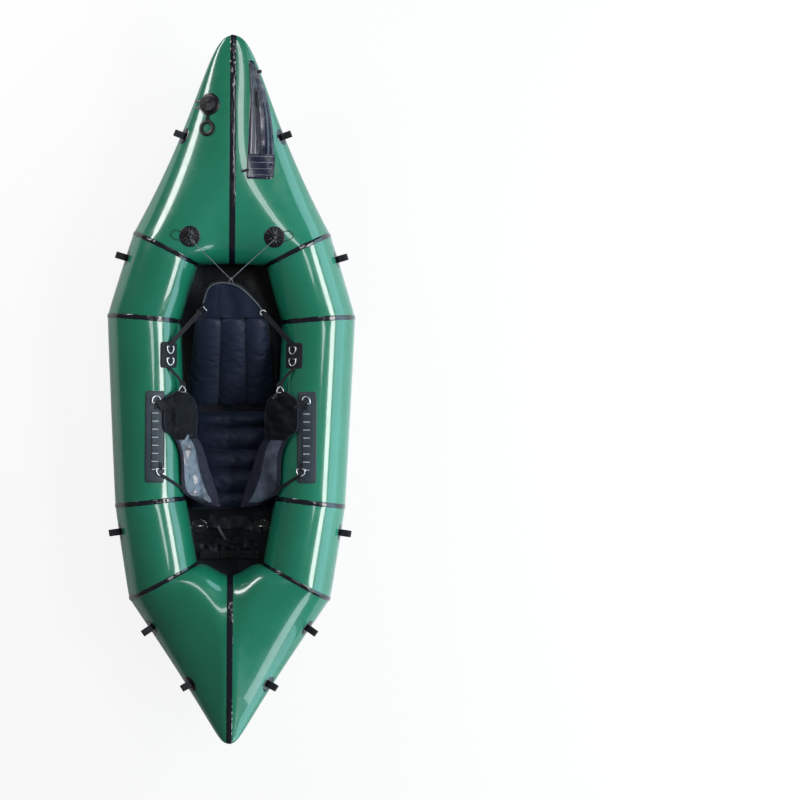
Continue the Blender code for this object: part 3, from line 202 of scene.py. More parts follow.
# Meshes from grids of points, each with a UV map in metres
def grid_object(name, grid, material, wrap=False, flip=False):
    grid = np.asarray(grid, float)
    rows, columns = grid.shape[:2]
    mesh = bpy.data.meshes.new(name)
    index = np.arange(rows * columns).reshape(rows, columns)
    last = columns if wrap else columns - 1
    faces, uvs = [], []
    down = np.linalg.norm(np.diff(grid, axis=0), axis=2).mean(1)
    over = np.linalg.norm(np.diff(np.concatenate([grid, grid[:, :1]], 1), axis=1), axis=2).mean(0)
    v = np.concatenate([[0], np.cumsum(down)])
    u = np.concatenate([[0], np.cumsum(over)])
    for j in range(rows - 1):
        for k in range(last):
            n = (k + 1) % columns
            face = [index[j, k], index[j, n], index[j + 1, n], index[j + 1, k]]
            spots = [(u[k], v[j]), (u[k + 1], v[j]), (u[k + 1], v[j + 1]), (u[k], v[j + 1])]
            faces.append(face[::-1] if flip else face)
            uvs.extend(spots[::-1] if flip else spots)
    mesh.from_pydata(grid.reshape(-1, 3).tolist(), [], [[int(i) for i in f] for f in faces])
    layer = mesh.uv_layers.new(name="metres")
    layer.data.foreach_set("uv", np.array(uvs, np.float32).ravel())
    return finish_object(name, mesh, material)


def finish_object(name, mesh, material):
    mesh.materials.append(material)
    mesh.shade_smooth()
    made = bpy.data.objects.new(name, mesh)
    bpy.context.scene.collection.objects.link(made)
    return made


def facing_out(obj):
    """Turns a shell's faces so that most look away from its middle."""
    points = np.array([p.center[:] for p in obj.data.polygons])
    normals = np.array([p.normal[:] for p in obj.data.polygons])
    if ((points - points.mean(0)) * normals).sum() < 0:
        obj.data.flip_normals()
    return obj


def joined(name, parts):
    """Joins objects into the first one, keeping their materials."""
    bpy.ops.object.select_all(action="DESELECT")
    for part in parts:
        part.select_set(True)
    bpy.context.view_layer.objects.active = parts[0]
    bpy.ops.object.join()
    parts[0].name = name
    return parts[0]


def placed(piece, body, *nodes, slot=None):
    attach(piece, body)
    if nodes:
        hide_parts(*nodes)
    return piece


# Procedural materials
class Look:
    """A material whose nodes are added by short calls."""

    def __init__(self, name, colour, roughness, metallic=0.0, **levels):
        self.material = bpy.data.materials.new(name)
        self.material.use_nodes = True
        self.tree = self.material.node_tree
        self.shader = self.tree.nodes["Principled BSDF"]
        self.set("Base Color", (*colour, 1.0))
        self.set("Roughness", roughness)
        self.set("Metallic", metallic)
        for word, value in levels.items():
            self.set(word.replace("_", " "), value)
        self.heights = []

    def set(self, socket, value):
        self.shader.inputs[socket].default_value = value

    def node(self, kind, inputs=None, **settings):
        made = self.tree.nodes.new(kind)
        for word, value in settings.items():
            setattr(made, word, value)
        for key, value in (inputs or {}).items():
            if isinstance(value, bpy.types.NodeSocket):
                self.tree.links.new(value, made.inputs[key])
            else:
                made.inputs[key].default_value = value
        return made

    def place(self, kind="Object"):
        return self.node("ShaderNodeTexCoord").outputs[kind]

    def noise(self, scale, detail=3.0, roughness=0.5, distortion=0.0):
        values = {"Scale": scale, "Detail": detail, "Roughness": roughness, "Distortion": distortion}
        return self.node("ShaderNodeTexNoise", {"Vector": self.place(), **values}).outputs["Fac"]

    def ramp(self, factor, *stops):
        made = self.node("ShaderNodeValToRGB", {"Fac": factor})
        points = made.color_ramp.elements
        while len(points) < len(stops):
            points.new(0.5)
        for point, (place, colour) in zip(points, stops):
            point.position = place
            point.color = (colour, colour, colour, 1) if isinstance(colour, float) else (*colour, 1)
        return made.outputs["Color"]

    def maths(self, operation, a, b=0.0):
        return self.node("ShaderNodeMath", {0: a, 1: b}, operation=operation).outputs[0]

    def spread(self, factor, low, high, from_low=0.3, from_high=0.7):
        values = {"From Min": from_low, "From Max": from_high, "To Min": low, "To Max": high}
        return self.node("ShaderNodeMapRange", {"Value": factor, **values}).outputs["Result"]

    def tint(self, factor, first, second):
        first, second = ((*c, 1) if isinstance(c, tuple) else c for c in (first, second))
        made = self.node("ShaderNodeMix", {0: factor, 6: first, 7: second}, data_type="RGBA")
        return made.outputs[2]

    def link(self, output, socket):
        self.tree.links.new(output, self.shader.inputs[socket])

    def bump(self, height, distance, strength=1.0):
        """Adds a layer of relief over those added before."""
        inputs = {"Height": height, "Distance": distance, "Strength": strength}
        if self.heights:
            inputs["Normal"] = self.heights[-1]
        self.heights.append(self.node("ShaderNodeBump", inputs).outputs["Normal"])
        self.link(self.heights[-1], "Normal")

    def weave(self, pitch, diagonal=False):
        """Height of a plain weave, or of a twill, over the UV map in metres."""
        place = self.place("UV")
        turn = math.pi / 4 if diagonal else 0.0
        waves = []
        for direction in ("X", "Y"):
            mapping = self.node("ShaderNodeMapping", {"Vector": place})
            mapping.inputs["Rotation"].default_value = (0, 0, turn)
            wave = self.node(
                "ShaderNodeTexWave",
                {"Vector": mapping.outputs["Vector"], "Scale": 0.314 / pitch, "Distortion": 0.0},
                bands_direction=direction,
            )
            waves.append(wave.outputs["Fac"])
        return self.maths("MULTIPLY", *waves)


def hull_look():
    look = Look("hull_green", (0.010, 0.185, 0.105), 0.22, IOR=1.5, Coat_Weight=1.0,
                Coat_Roughness=0.04)
    cloud = look.noise(2.3, 4, 0.55)
    fine = look.noise(26, 5, 0.6)
    colour = look.tint(look.spread(cloud, 0, 1), (0.008, 0.170, 0.092), (0.015, 0.225, 0.132))
    scuffs = look.ramp(look.noise(9, 8, 0.75, 0.6), (0.60, 0.0), (0.80, 1.0))
    colour = look.tint(look.maths("MULTIPLY", scuffs, 0.12), colour, (0.10, 0.32, 0.24))
    look.link(colour, "Base Color")
    look.link(look.spread(fine, 0.17, 0.28), "Roughness")
    look.bump(look.weave(0.0011), 0.00003, 0.4)
    look.bump(look.noise(6.0, 3, 0.5), 0.004, 0.10)
    look.bump(fine, 0.0005, 0.06)
    return look.material


def tape_look():
    look = Look("tape_black", (0.0032, 0.0042, 0.0085), 0.16, IOR=1.5, Specular_IOR_Level=0.3,
                Coat_Weight=1.0, Coat_Roughness=0.05)
    creases = look.node("ShaderNodeTexVoronoi", {"Vector": look.place(), "Scale": 85.0},
                        feature="SMOOTH_F1")
    wrinkles = look.noise(34, 4, 0.6, 0.8)
    look.link(look.tint(wrinkles, (0.0032, 0.0042, 0.0085), (0.0084, 0.0104, 0.0190)), "Base Color")
    look.link(look.spread(look.noise(60, 3), 0.10, 0.26, 0.35), "Roughness")
    look.bump(creases.outputs["Distance"], 0.0012, 0.45)
    look.bump(wrinkles, 0.0040, 0.5)
    return look.material


def floor_look():
    look = Look("floor_black", (0.004, 0.005, 0.008), 0.30, IOR=1.5, Specular_IOR_Level=0.22,
                Coat_Weight=0.18, Coat_Roughness=0.12)
    dust = look.ramp(look.noise(5, 6, 0.65), (0.42, 0.0), (0.75, 1.0))
    look.link(look.tint(dust, (0.0030, 0.0042, 0.0078), (0.0060, 0.0078, 0.0128)), "Base Color")
    look.link(look.spread(look.noise(22, 4, 0.6), 0.20, 0.42), "Roughness")
    look.bump(look.weave(0.0014), 0.00006, 0.6)
    look.bump(look.noise(7, 4, 0.6, 0.5), 0.005, 0.20)
    look.bump(look.noise(45, 4, 0.6), 0.0008, 0.25)
    return look.material


def cloudy(name, colour, roughness, cloud, tints, rough, bumps, metallic=0.0, sharp=None, **levels):
    """A look whose colour and roughness vary in clouds.

    Each bump has a form, a depth in metres and a strength. The form is the numbers of a noise,
    the pitch of a weave in metres, or None for the cloud itself.
    """
    look = Look(name, colour, roughness, metallic, **levels)
    shade = look.noise(*cloud)
    worn, low, high = rough
    look.link(look.tint(look.spread(shade, 0, 1, *sharp) if sharp else shade, *tints), "Base Color")
    look.link(look.spread(look.noise(*worn) if worn else shade, low, high), "Roughness")
    for form, depth, strength in bumps:
        if isinstance(form, float):
            look.bump(look.weave(form), depth, strength)
        else:
            look.bump(look.noise(*form) if form else shade, depth, strength)
    return look.material


def webbing_look(name, colour, pitch=0.0022, roughness=0.58, gloss=0.28):
    """Twilled webbing, thread or cloth that is paler where it is worn."""
    look = Look(name, colour, roughness, Specular_IOR_Level=gloss, Sheen_Weight=gloss * 0.36,
                Sheen_Roughness=0.45)
    worn = look.noise(42, 4, 0.65)
    look.link(look.tint(worn, colour, tuple(c * 2.4 + 0.003 for c in colour)), "Base Color")
    look.link(look.spread(worn, roughness - 0.12, roughness + 0.12), "Roughness")
    look.bump(look.weave(pitch, diagonal=True), 0.0005, 0.8)
    look.bump(look.noise(90, 2), 0.0004, 0.3)
    return look.material


def cord_look():
    look = Look("cord_grey", (0.16, 0.165, 0.18), 0.6, Sheen_Weight=0.1)
    twist = look.node("ShaderNodeTexWave", {"Vector": look.place(), "Scale": 160.0, "Distortion": 1.5},
                      bands_direction="DIAGONAL")
    look.link(look.tint(twist.outputs["Fac"], (0.075, 0.085, 0.10), (0.20, 0.22, 0.25)), "Base Color")
    look.bump(twist.outputs["Fac"], 0.0005, 0.6)
    look.link(look.spread(look.noise(80, 3), 0.5, 0.75), "Roughness")
    return look.material


GREEN = hull_look()
TAPE = tape_look()
FLOOR = floor_look()
CORD = cord_look()
WEBBING = webbing_look("webbing_black", (0.0055, 0.006, 0.0085))
PALE_WEBBING = webbing_look("webbing_pale", (0.075, 0.082, 0.100), 0.0022, 0.5)
THREAD = webbing_look("thread", (0.022, 0.026, 0.036), 0.0012, 0.5)
TACK = webbing_look("thread_tack", (0.42, 0.43, 0.46), 0.0012, 0.5)
PALE_THREAD = webbing_look("thread_pale", (0.34, 0.35, 0.38), 0.0012, 0.5)
# A black darker than the cushions, for the weld lines in the channels' valleys and the seat hinge in the
# crease: painted shade there
PAINTED_SHADE = webbing_look("crease_painted_shade", (0.0030, 0.0036, 0.0070), 0.0013, 0.6)
PAD = webbing_look("pad_black", (0.0022, 0.0026, 0.0045), 0.0030, 0.55, 0.12)
BOUND = webbing_look("bound_navy", (0.010, 0.0105, 0.024), 0.0014, 0.36)
NAVY = cloudy(
    "cushion_navy", (0.010, 0.014, 0.030), 0.5, (7, 5, 0.6),
    ((0.0085, 0.0125, 0.028), (0.019, 0.026, 0.055)), ((30, 3), 0.38, 0.56),
    ((0.0013, 0.00012, 0.7), ((38, 4, 0.6, 0.4), 0.0016, 0.30)),
    Specular_IOR_Level=0.22, Sheen_Weight=0.10, Sheen_Roughness=0.4, Sheen_Tint=(0.65, 0.75, 1.0, 1.0),
)
# Glossy navy strap face: its colour clouds run from dark navy up to a pale blue-grey, which is painted sheen
# standing in for reflections of the lamps
FACE_PAINTED_SHEEN = cloudy(
    "strap_face_painted_sheen", (0.050, 0.058, 0.088), 0.24, (13, 3, 0.5, 0.5),
    ((0.032, 0.038, 0.062), (0.115, 0.135, 0.200)), (None, 0.34, 0.22),
    ((None, 0.004, 0.16), (0.0012, 0.00006, 0.5)),
    sharp=(0.35, 0.65), IOR=1.5, Coat_Weight=0.8, Coat_Roughness=0.16,
)
STRIP = cloudy(
    "strip_grey", (0.030, 0.042, 0.056), 0.42, (30, 5, 0.65),
    ((0.020, 0.032, 0.044), (0.044, 0.062, 0.080)), (None, 0.34, 0.52),
    ((0.0011, 0.00020, 0.7), ((14, 2), 0.0015, 0.3)),
    Specular_IOR_Level=0.4, Sheen_Weight=0.08,
)
STRIP_DARK = cloudy(
    "fold_dark", (0.009, 0.012, 0.020), 0.45, (30, 5, 0.65),
    ((0.006, 0.008, 0.014), (0.018, 0.024, 0.036)), (None, 0.34, 0.54),
    ((0.0012, 0.00020, 0.7), ((28, 4, 0.6), 0.0020, 0.4)),
    Specular_IOR_Level=0.35, Sheen_Weight=0.08,
)
EDGE = cloudy(
    "edge_grey", (0.10, 0.12, 0.15), 0.45, (40, 4, 0.6),
    ((0.065, 0.085, 0.110), (0.14, 0.165, 0.20)), (None, 0.30, 0.55),
    ((None, 0.0012, 0.4),), IOR=1.5,
)
ZIP = cloudy(
    "zip_navy", (0.006, 0.008, 0.022), 0.20, (24, 4, 0.6, 0.5),
    ((0.0045, 0.0065, 0.019), (0.014, 0.018, 0.048)), (None, 0.14, 0.28),
    ((None, 0.0014, 0.22), ((120, 3), 0.0003, 0.3)),
    IOR=1.5, Specular_IOR_Level=0.35, Coat_Weight=0.55, Coat_Roughness=0.09,
)
PLASTIC = cloudy(
    "valve_black", (0.006, 0.006, 0.008), 0.30, (30, 4, 0.7),
    ((0.005, 0.005, 0.007), (0.014, 0.014, 0.018)), (None, 0.20, 0.38),
    (((260, 2), 0.0002, 0.35),), IOR=1.5, Specular_IOR_Level=0.4,
)
PALE = cloudy(
    "pale_plastic", (0.55, 0.56, 0.58), 0.35, (90, 4, 0.7),
    ((0.42, 0.43, 0.46), (0.70, 0.70, 0.72)), (None, 0.25, 0.5), ((None, 0.0003, 0.3),), IOR=1.5,
)
STEEL = cloudy(
    "ring_steel", (0.80, 0.81, 0.83), 0.28, (120, 5, 0.7),
    ((0.70, 0.71, 0.74), (0.92, 0.93, 0.94)), (None, 0.20, 0.40), (((300, 3), 0.0002, 0.3),), 0.85,
)


# Camera, straight above as in the photograph's left view
CAMERA_PLACE = (0, -0.150, 11.833)
CAMERA_TURNS = (("Y", -0.0550), ("X", 0.00976), ("Z", 0.00566))
LENS = 138.0


def make_camera():
    data = bpy.data.cameras.new("photo_camera")
    data.lens = LENS
    data.clip_end = 60
    made = bpy.data.objects.new("photo_camera", data)
    bpy.context.scene.collection.objects.link(made)
    turn = Matrix.Translation(CAMERA_PLACE)
    for axis, angle in CAMERA_TURNS:
        turn = turn @ Matrix.Rotation(angle, 4, axis)
    made.matrix_world = turn
    bpy.context.scene.camera = made


# Lamps: place, aim, size along the boat and across the beam, power, colour
LAMPS = {
    "key": ((3.67, 0.2, 3.5), (0.1, 0.2, 0.2), (3.6, 1.2), 140, (1.0, 1.0, 1.0)),
    "high": ((1.25, 1.3, 5.1), (0.0, 0.4, 0.2), (2.6, 0.7), 34, (0.93, 0.98, 1.0)),
    "stern": ((-1.9, 2.0, 1.5), (-0.25, 0.75, 0.2), (1.5, 0.6), 32, (1.0, 1.0, 1.0)),
    "fill": ((2.9, 0.1, 0.9), (0.0, 0.1, 0.2), (6.0, 1.6), 85, (0.55, 0.86, 1.0)),
    "bow": ((2.3, -2.5, 2.0), (0.25, -0.9, 0.2), (1.4, 0.8), 15, (0.80, 0.95, 1.0)),
}
AMBIENT = 0.11


def make_light(name, place, aim, size, power, colour):
    data = bpy.data.lights.new(name, "AREA")
    data.shape = "RECTANGLE"
    data.size, data.size_y = size
    data.energy = power
    data.color = colour
    made = bpy.data.objects.new(name, data)
    bpy.context.scene.collection.objects.link(made)
    made.location = place
    made.rotation_euler = (Vector(place) - Vector(aim)).to_track_quat("Z", "Y").to_euler()
    made.visible_camera = False


def make_studio():
    for word, lamp in LAMPS.items():
        make_light(word, *lamp)
    world = bpy.data.worlds.new("studio")
    bpy.context.scene.world = world
    world.use_nodes = True
    tree = world.node_tree
    sky = tree.nodes["Background"]
    sky.inputs["Color"].default_value = (1, 1, 1, 1)
    paths = tree.nodes.new("ShaderNodeLightPath")
    seen = tree.nodes.new("ShaderNodeMath")
    seen.operation = "MAXIMUM"
    tree.links.new(paths.outputs["Is Camera Ray"], seen.inputs[0])
    tree.links.new(paths.outputs["Is Transmission Ray"], seen.inputs[1])
    level = tree.nodes.new("ShaderNodeMapRange")
    level.inputs["To Min"].default_value = AMBIENT
    level.inputs["To Max"].default_value = 1.0
    tree.links.new(seen.outputs[0], level.inputs["Value"])
    tree.links.new(level.outputs["Result"], sky.inputs["Strength"])

    look = Look("stage_white", (0.86, 0.86, 0.86), 0.9)
    paths = look.node("ShaderNodeLightPath")
    glow = look.node("ShaderNodeEmission", {"Color": (1, 1, 1, 1), "Strength": 1.0})
    seen = look.maths("MAXIMUM", paths.outputs["Is Camera Ray"], paths.outputs["Is Transmission Ray"])
    lit = look.node(
        "ShaderNodeMixShader",
        {"Fac": look.maths("MULTIPLY", seen, 0.88), 1: look.shader.outputs[0], 2: glow.outputs[0]},
    )
    clear = look.node("ShaderNodeBsdfTransparent")
    side = look.node("ShaderNodeNewGeometry")
    shown = look.node(
        "ShaderNodeMixShader",
        {"Fac": side.outputs["Backfacing"], 1: lit.outputs[0], 2: clear.outputs[0]},
    )
    out = look.tree.nodes["Material Output"]
    look.tree.links.new(shown.outputs[0], out.inputs["Surface"])
    mesh = bpy.data.meshes.new("stage_floor")
    mesh.from_pydata([(-30, -30, 0), (30, -30, 0), (30, 30, 0), (-30, 30, 0)], [], [(0, 1, 2, 3)])
    floor = finish_object("stage_floor", mesh, look.material)


bpy.context.scene.view_settings.view_transform = "Standard"
make_camera()
make_studio()


# Hull
PUCKER_REACH = 0.020
PUCKER_DEPTH = 0.0016
PUCKER_DRAW = 0.0006
TURNS = turns_of(AROUND)
PANEL_STEPS = 26
END_STEPS = 44


def pucker(points, distances, seed):
    """Draws the skin in and out a little beside a tape, as a taut welded seam does."""
    ripples = [noise.noise(Vector((8.5 * math.cos(t), 8.5 * math.sin(t), seed))) for t in TURNS]
    moves = np.array(ripples) * PUCKER_DEPTH - PUCKER_DRAW
    strengths = np.exp(-((np.array(distances) / PUCKER_REACH) ** 2))
    strengths[strengths < 0.01] = 0
    out = unit(points - points.mean(1, keepdims=True))
    return points + out * strengths[:, None, None] * moves[None, :, None]


def panel_grid(panel):
    first, last = (SEAMS[seam][1] for seam in PANELS[panel])
    shares = eased(PANEL_STEPS)
    points = np.stack([panel_points(panel, TURNS, s) for s in shares])
    distances = [min(s, 1 - s) * abs(first - last) * HALF_LENGTH for s in shares]
    return pucker(points, distances, len(panel) * 1.7)


def end_grid(end):
    shares = [(k / END_STEPS) ** 1.15 for k in range(END_STEPS + 1)]
    points = np.stack([end_points(end, TURNS, s) for s in shares])
    distances = [min(s * 0.6, (1 - s) * 0.5) for s in shares]
    distances[-1] = 1.0
    half = pucker(points, distances, len(end) * 2.3)
    half[-1, :, 0] = 0
    return np.concatenate([mirror_grid(half), half[-2::-1]])


def mirror_grid(grid):
    return grid * np.array([-1, 1, 1])


def make_hull():
    grids = {end: end_grid(end) for end in ENDS}
    for panel in PANELS:
        grids[f"{panel}_port"] = panel_grid(panel)
        grids[f"{panel}_starboard"] = mirror_grid(grids[f"{panel}_port"])
    made = []
    for word, grid in grids.items():
        piece = facing_out(grid_object(f"skin_{word}", grid, GREEN, wrap=True))
        made.append(placed(piece, "raft", f"hull_{word}", slot="hull_green"))
    return made


def tree_over(objects):
    """A search tree over several objects at rest."""
    points, faces = [], []
    for obj in objects:
        base = len(points)
        points += [obj.matrix_world @ v.co for v in obj.data.vertices]
        faces += [[base + i for i in p.vertices] for p in obj.data.polygons]
    return BVHTree.FromPolygons(points, faces)


HULL = make_hull()
SKIN = tree_over(HULL)


def drop(x, y):
    """The point on the skin below a place in plan, and its upward normal."""
    point, normal, _, _ = SKIN.ray_cast(Vector((x, y, 2)), Vector((0, 0, -1)))
    if point is None:
        raise ValueError(f"no skin under {x:.3f}, {y:.3f}")
    return point, normal if normal.z > 0 else -normal


def lifted(x, y, height):
    """The point at a height over the skin, above a place in plan."""
    point, normal = drop(x, y)
    return point + normal * height


def onto_skin(spot, down, level):
    """The point at a level over the skin that is met on the way down from a spot."""
    point, normal, _, _ = SKIN.ray_cast(spot, down)
    if point is None:
        point, normal, _, _ = SKIN.find_nearest(spot)
    return point - normal * level if normal.dot(down) > 0 else point + normal * level


# Seam tapes
TIP_CRUMPLE = (1.14, 0.05)
BOW_CRUMPLE = (-0.83, 0.05)
BAND = np.linspace(-1, 1, 9)
BAND_HEIGHT = np.array([-0.0004, 0.0007, 0.0011, 0.0012, 0.0012, 0.0012, 0.0011, 0.0007, -0.0004])
HOOP_TAPE_HALF = 0.010
CENTRE_TAPE_HALF = 0.0125
EDGE_TAPE_WIDTH = 0.010


def crumpled(p):
    """How crumpled a centre tape is: most by the stern's tip and at the bow's inner end."""
    tip = smooth((p[1] - TIP_CRUMPLE[0]) / TIP_CRUMPLE[1])
    bow = smooth(1 - abs(p[1] - BOW_CRUMPLE[0]) / BOW_CRUMPLE[1]) * smooth((p[2] - AXIS_HEIGHT) / 0.03)
    return 1.7 + 5.0 * max(tip, bow)


def even(p):
    """The plain crinkle of the hoop tapes."""
    return 1.0


def band_grid(rows, seed, crinkle=even):
    """A tape over rows of hull points: a thin raised band with small wrinkles."""
    rows = np.asarray(rows, float)
    centre = rows.mean((0, 1))
    over = (np.roll(rows, -1, axis=1) - np.roll(rows, 1, axis=1)) / 2
    normal = unit(np.cross(over, np.gradient(rows, axis=0)))
    if (normal * (rows - centre)).sum() < 0:
        normal = -normal
    made = rows.copy()
    for j in range(len(rows)):
        inner = 1 - abs(BAND[j]) ** 4
        for k in range(rows.shape[1]):
            p = rows[j, k]
            ripple = wobble(*p, 70, seed) * 0.0007 + wobble(*p, 150, seed) * 0.0004
            level = BAND_HEIGHT[j] + ripple * inner * crinkle(p)
            made[j, k] = p + normal[j, k] * (max(level, 0.0003) if inner > 0 else level)
    return made


def seam_row(seam, offset, turns):
    """Points at a distance along the boat from a seam, positive towards the stern."""
    if seam in ENDS and (offset > 0) == (seam == "stern"):
        start = end_points(seam, turns, 0.0)
        return start + unit(end_points(seam, turns, 0.02) - start) * abs(offset)
    first, last = next(seams for seams in PANELS.values() if seams[int(offset > 0)] == seam)
    a, b = seam_points(first, turns), seam_points(last, turns)
    run = unit(b - a) * abs(offset)
    return a + run if seam == first else b - run


def make_hoop_tapes():
    turns = turns_of(240)
    for number, seam in enumerate(SEAMS):
        rows = np.array([seam_row(seam, HOOP_TAPE_HALF * b, turns) for b in BAND])
        for word, side in SIDES.items():
            grid = band_grid(rows if side > 0 else mirror_grid(rows), number * 3.1 + side)
            piece = grid_object(f"hoop_tape_{seam}_{word}", grid, TAPE, wrap=True, flip=side < 0)
            placed(piece, "raft", f"tape_{seam}_{word}", slot="tape_black")


def near_middle(end, turns, x):
    """The hull's points at a distance across from the middle plane at an end."""
    points = []
    for turn in np.array(turns)[:, None]:
        share = last_true(lambda s: end_points(end, turn, s)[0, 0] > abs(x), 0.0, 1.0)
        points.append((x, *end_points(end, turn, share)[0, 1:]))
    return points


def make_centre_tapes():
    turns = turns_of(300)
    for number, end in enumerate(ENDS):
        rows = [near_middle(end, turns, CENTRE_TAPE_HALF * b) for b in BAND]
        grid = band_grid(rows, number + 9.5, crumpled)
        piece = grid_object(f"centre_tape_{end}", grid, TAPE, wrap=True, flip=end == "bow")
        placed(piece, "raft", f"tape_{end}_centre", slot="tape_black")


# Floor: the sheet between the tubes and its edge bonded up round the tube
PORT_LINE = [(x * SPREAD, y * HALF_LENGTH) for x, y in OUTLINE]
RING = np.array([(0, 0.744 * HALF_LENGTH)] + PORT_LINE + [(0, -0.801 * HALF_LENGTH)])
RING_Y = RING[::-1, 1]
RING_X = RING[::-1, 0]


def inside_outline(point, grow):
    """How far a point is inside the floor's bonded outline, seen from above."""
    x, y, _ = point
    if y > RING_Y[-1] + grow or y < RING_Y[0] - grow:
        return -1.0
    ahead = np.interp(y + 0.01, RING_Y, RING_X) - np.interp(y - 0.01, RING_Y, RING_X)
    slope = min(2.5, math.hypot(1, ahead / 0.02))
    return np.interp(y, RING_Y, RING_X) + grow * slope - abs(x)


INNER_TURN = math.radians(243)
WRAP_COUNTS = {"aft": 12, "mid": 30, "fore": 12, "bow": 46}
LOWEST = 0.0002
FLOOR_LEVEL = 0.0136


def wrap_row(part, along, grow_from, grow_to, columns):
    """A row of the bonded edge from its inner to its outer line, both in plan."""
    def turn_at(grow):
        def inside(turn):
            return inside_outline(hull_points(part, np.array([turn]), along)[0], grow) > 0

        return last_true(inside, INNER_TURN, 2 * math.pi, 26)

    first = INNER_TURN if grow_from is None else turn_at(grow_from)
    return hull_points(part, np.linspace(first, turn_at(grow_to), columns), along)


def wrap_grid(grow_from, grow_to, columns):
    """Rows of the bonded edge round the port side, from the stern's middle to the bow's."""
    spots = [("stern", s) for s in np.linspace(1, 0, 46)]
    for part, count in WRAP_COUNTS.items():
        spots += [(part, s) for s in np.linspace(0, 1, count)[1:]]
    return np.array([wrap_row(*spot, grow_from, grow_to, columns) for spot in spots])


def lowered(grid, height):
    """The grid moved off the tube, outward from it."""
    normal = grid_normals(grid)
    if normal[:, :, 2].mean() > 0:
        normal = -normal
    moved = grid + normal * height
    moved[:, :, 2] = np.maximum(moved[:, :, 2], LOWEST)
    moved[[0, -1], :, 0] = 0
    return moved


def whole_ring(grid):
    """Port rows and their mirror image as one band whose last row is its first."""
    return np.concatenate([grid, mirror_grid(grid)[-2:0:-1], grid[:1]])


def floor_height(x, y, edge):
    """Height of the middle sheet: taut ridges along it, and slack diagonal folds at its ends."""
    inner = max(0.0, 1 - (abs(x) / max(edge, 1e-6)) ** 6)
    ridges = 0.0011 * math.sin(x * 118 + 0.9 * math.sin(y * 2.1)) * smooth((0.45 - abs(y + 0.05)) / 0.35)
    folds = 0.0016 * noise.noise(Vector(((x + y * 0.6) * 16, (y - x * 0.4) * 3.2, 1.3)))
    small = 0.0005 * noise.noise(Vector((x * 40, y * 17, 4.0)))
    return (ridges + folds + small) * inner


def floor_rows(port):
    """Rows of the middle sheet between the inner lines of its bonded edge."""
    rows = []
    for share in eased(110):
        y = mix(port[0, 1], port[-1, 1], share)
        edge, height = (float(np.interp(y, port[:, 1], port[:, k])) for k in (0, 2))
        level = min(height, FLOOR_LEVEL)
        row = []
        for across in np.sin(np.linspace(-1, 1, 61) * math.pi / 2):
            x = across * edge
            drawn = height + (level - height) * (1 - across**4)
            row.append((x, y, drawn + floor_height(x, y, edge)))
        rows.append(row)
    return rows


def make_floor():
    wrap = wrap_grid(None, 0.0, 26)
    ripples = [[wobble(*p, 26, 2.0) * 0.0009 + wobble(*p, 70, 5.0) * 0.0004 for p in row] for row in wrap]
    bonded = lowered(wrap, 0.0006)
    bonded[:, :, 2] = np.maximum(bonded[:, :, 2] + np.minimum(ripples, 0) * 0.3, LOWEST)
    rim = bonded[:, 0]
    rim = rim[np.concatenate([[True], np.diff(rim[:, 1]) < -1e-5])]
    middle = grid_object("floor_middle", floor_rows(rim[np.argsort(rim[:, 1])]), FLOOR)
    edge = grid_object("floor_bonded", whole_ring(bonded), FLOOR, flip=True)
    floor = joined("floor_cloth", [middle, edge])
    placed(floor, "raft", "floor_sheet", slot="floor_black")
    ring = whole_ring(lowered(wrap_grid(0.0, EDGE_TAPE_WIDTH, 7), 0.0009))
    band = grid_object("floor_edge_band", ring, EDGE, flip=True)
    placed(band, "raft", "floor_edge_tape", slot="edge_grey")
    make_eyelets(rim)


def make_eyelets(rim):
    """Small black dots along both inner edges of the underside."""
    mesh = bpy.data.meshes.new("floor_eyelets")
    form = bmesh.new()
    for side in (-1, 1):
        for y in np.arange(-0.62, 0.56, 0.134):
            x = float(np.interp(y, rim[::-1, 1], rim[::-1, 0])) - 0.012
            spot = Matrix.Translation((side * x, y, 0.0118)) @ Matrix.Diagonal((1, 1, 0.4, 1))
            bmesh.ops.create_uvsphere(form, u_segments=16, v_segments=8, radius=0.0042, matrix=spot)
    form.to_mesh(mesh)
    form.free()
    placed(finish_object("floor_eyelets", mesh, PLASTIC), "raft", slot="floor_black")


make_hoop_tapes()
make_centre_tapes()
make_floor()


# Helpers that lay pieces on the hull
TOP = AXIS_HEIGHT + RADIUS


def plan(place, side=1):
    return side * place[0] * SPREAD, place[1] * HALF_LENGTH


def frame_at(point, x_axis, z_axis):
    x, z = Vector(x_axis).normalized(), Vector(z_axis).normalized()
    frame = Matrix((x, z.cross(x), z)).transposed().to_4x4()
    frame.translation = point
    return frame


def skin_frame(x, y, reach):
    """A frame on the skin seen from above: X across the boat, Z along the mean normal."""
    right, left = drop(x + reach, y)[0], drop(x - reach, y)[0]
    aft, fore = drop(x, y + reach)[0], drop(x, y - reach)[0]
    normal = (right - left).cross(aft - fore).normalized()
    return frame_at(drop(x, y)[0], normal.cross(Vector((0, -1, 0))), normal)


def curve_point(a, b, c, d, t):
    """A point on the smooth curve through four others, at a share of the way from b to c."""
    return b + ((c - a) * t + (a * 2 - b * 5 + c * 4 - d) * t**2 + (b * 3 - a - c * 3 + d) * t**3) / 2


def with_ends(points):
    """The points with one more beyond each end, straight on."""
    return [points[0] * 2 - points[1]] + points + [points[-1] * 2 - points[-2]]


def way_along(line):
    """Distances of a line's points from its start."""
    return np.concatenate([[0], np.cumsum(np.linalg.norm(np.diff(line, axis=0), axis=1))])


def points_at(line, way, spots):
    return np.stack([np.interp(spots, way, column) for column in line.T], 1)


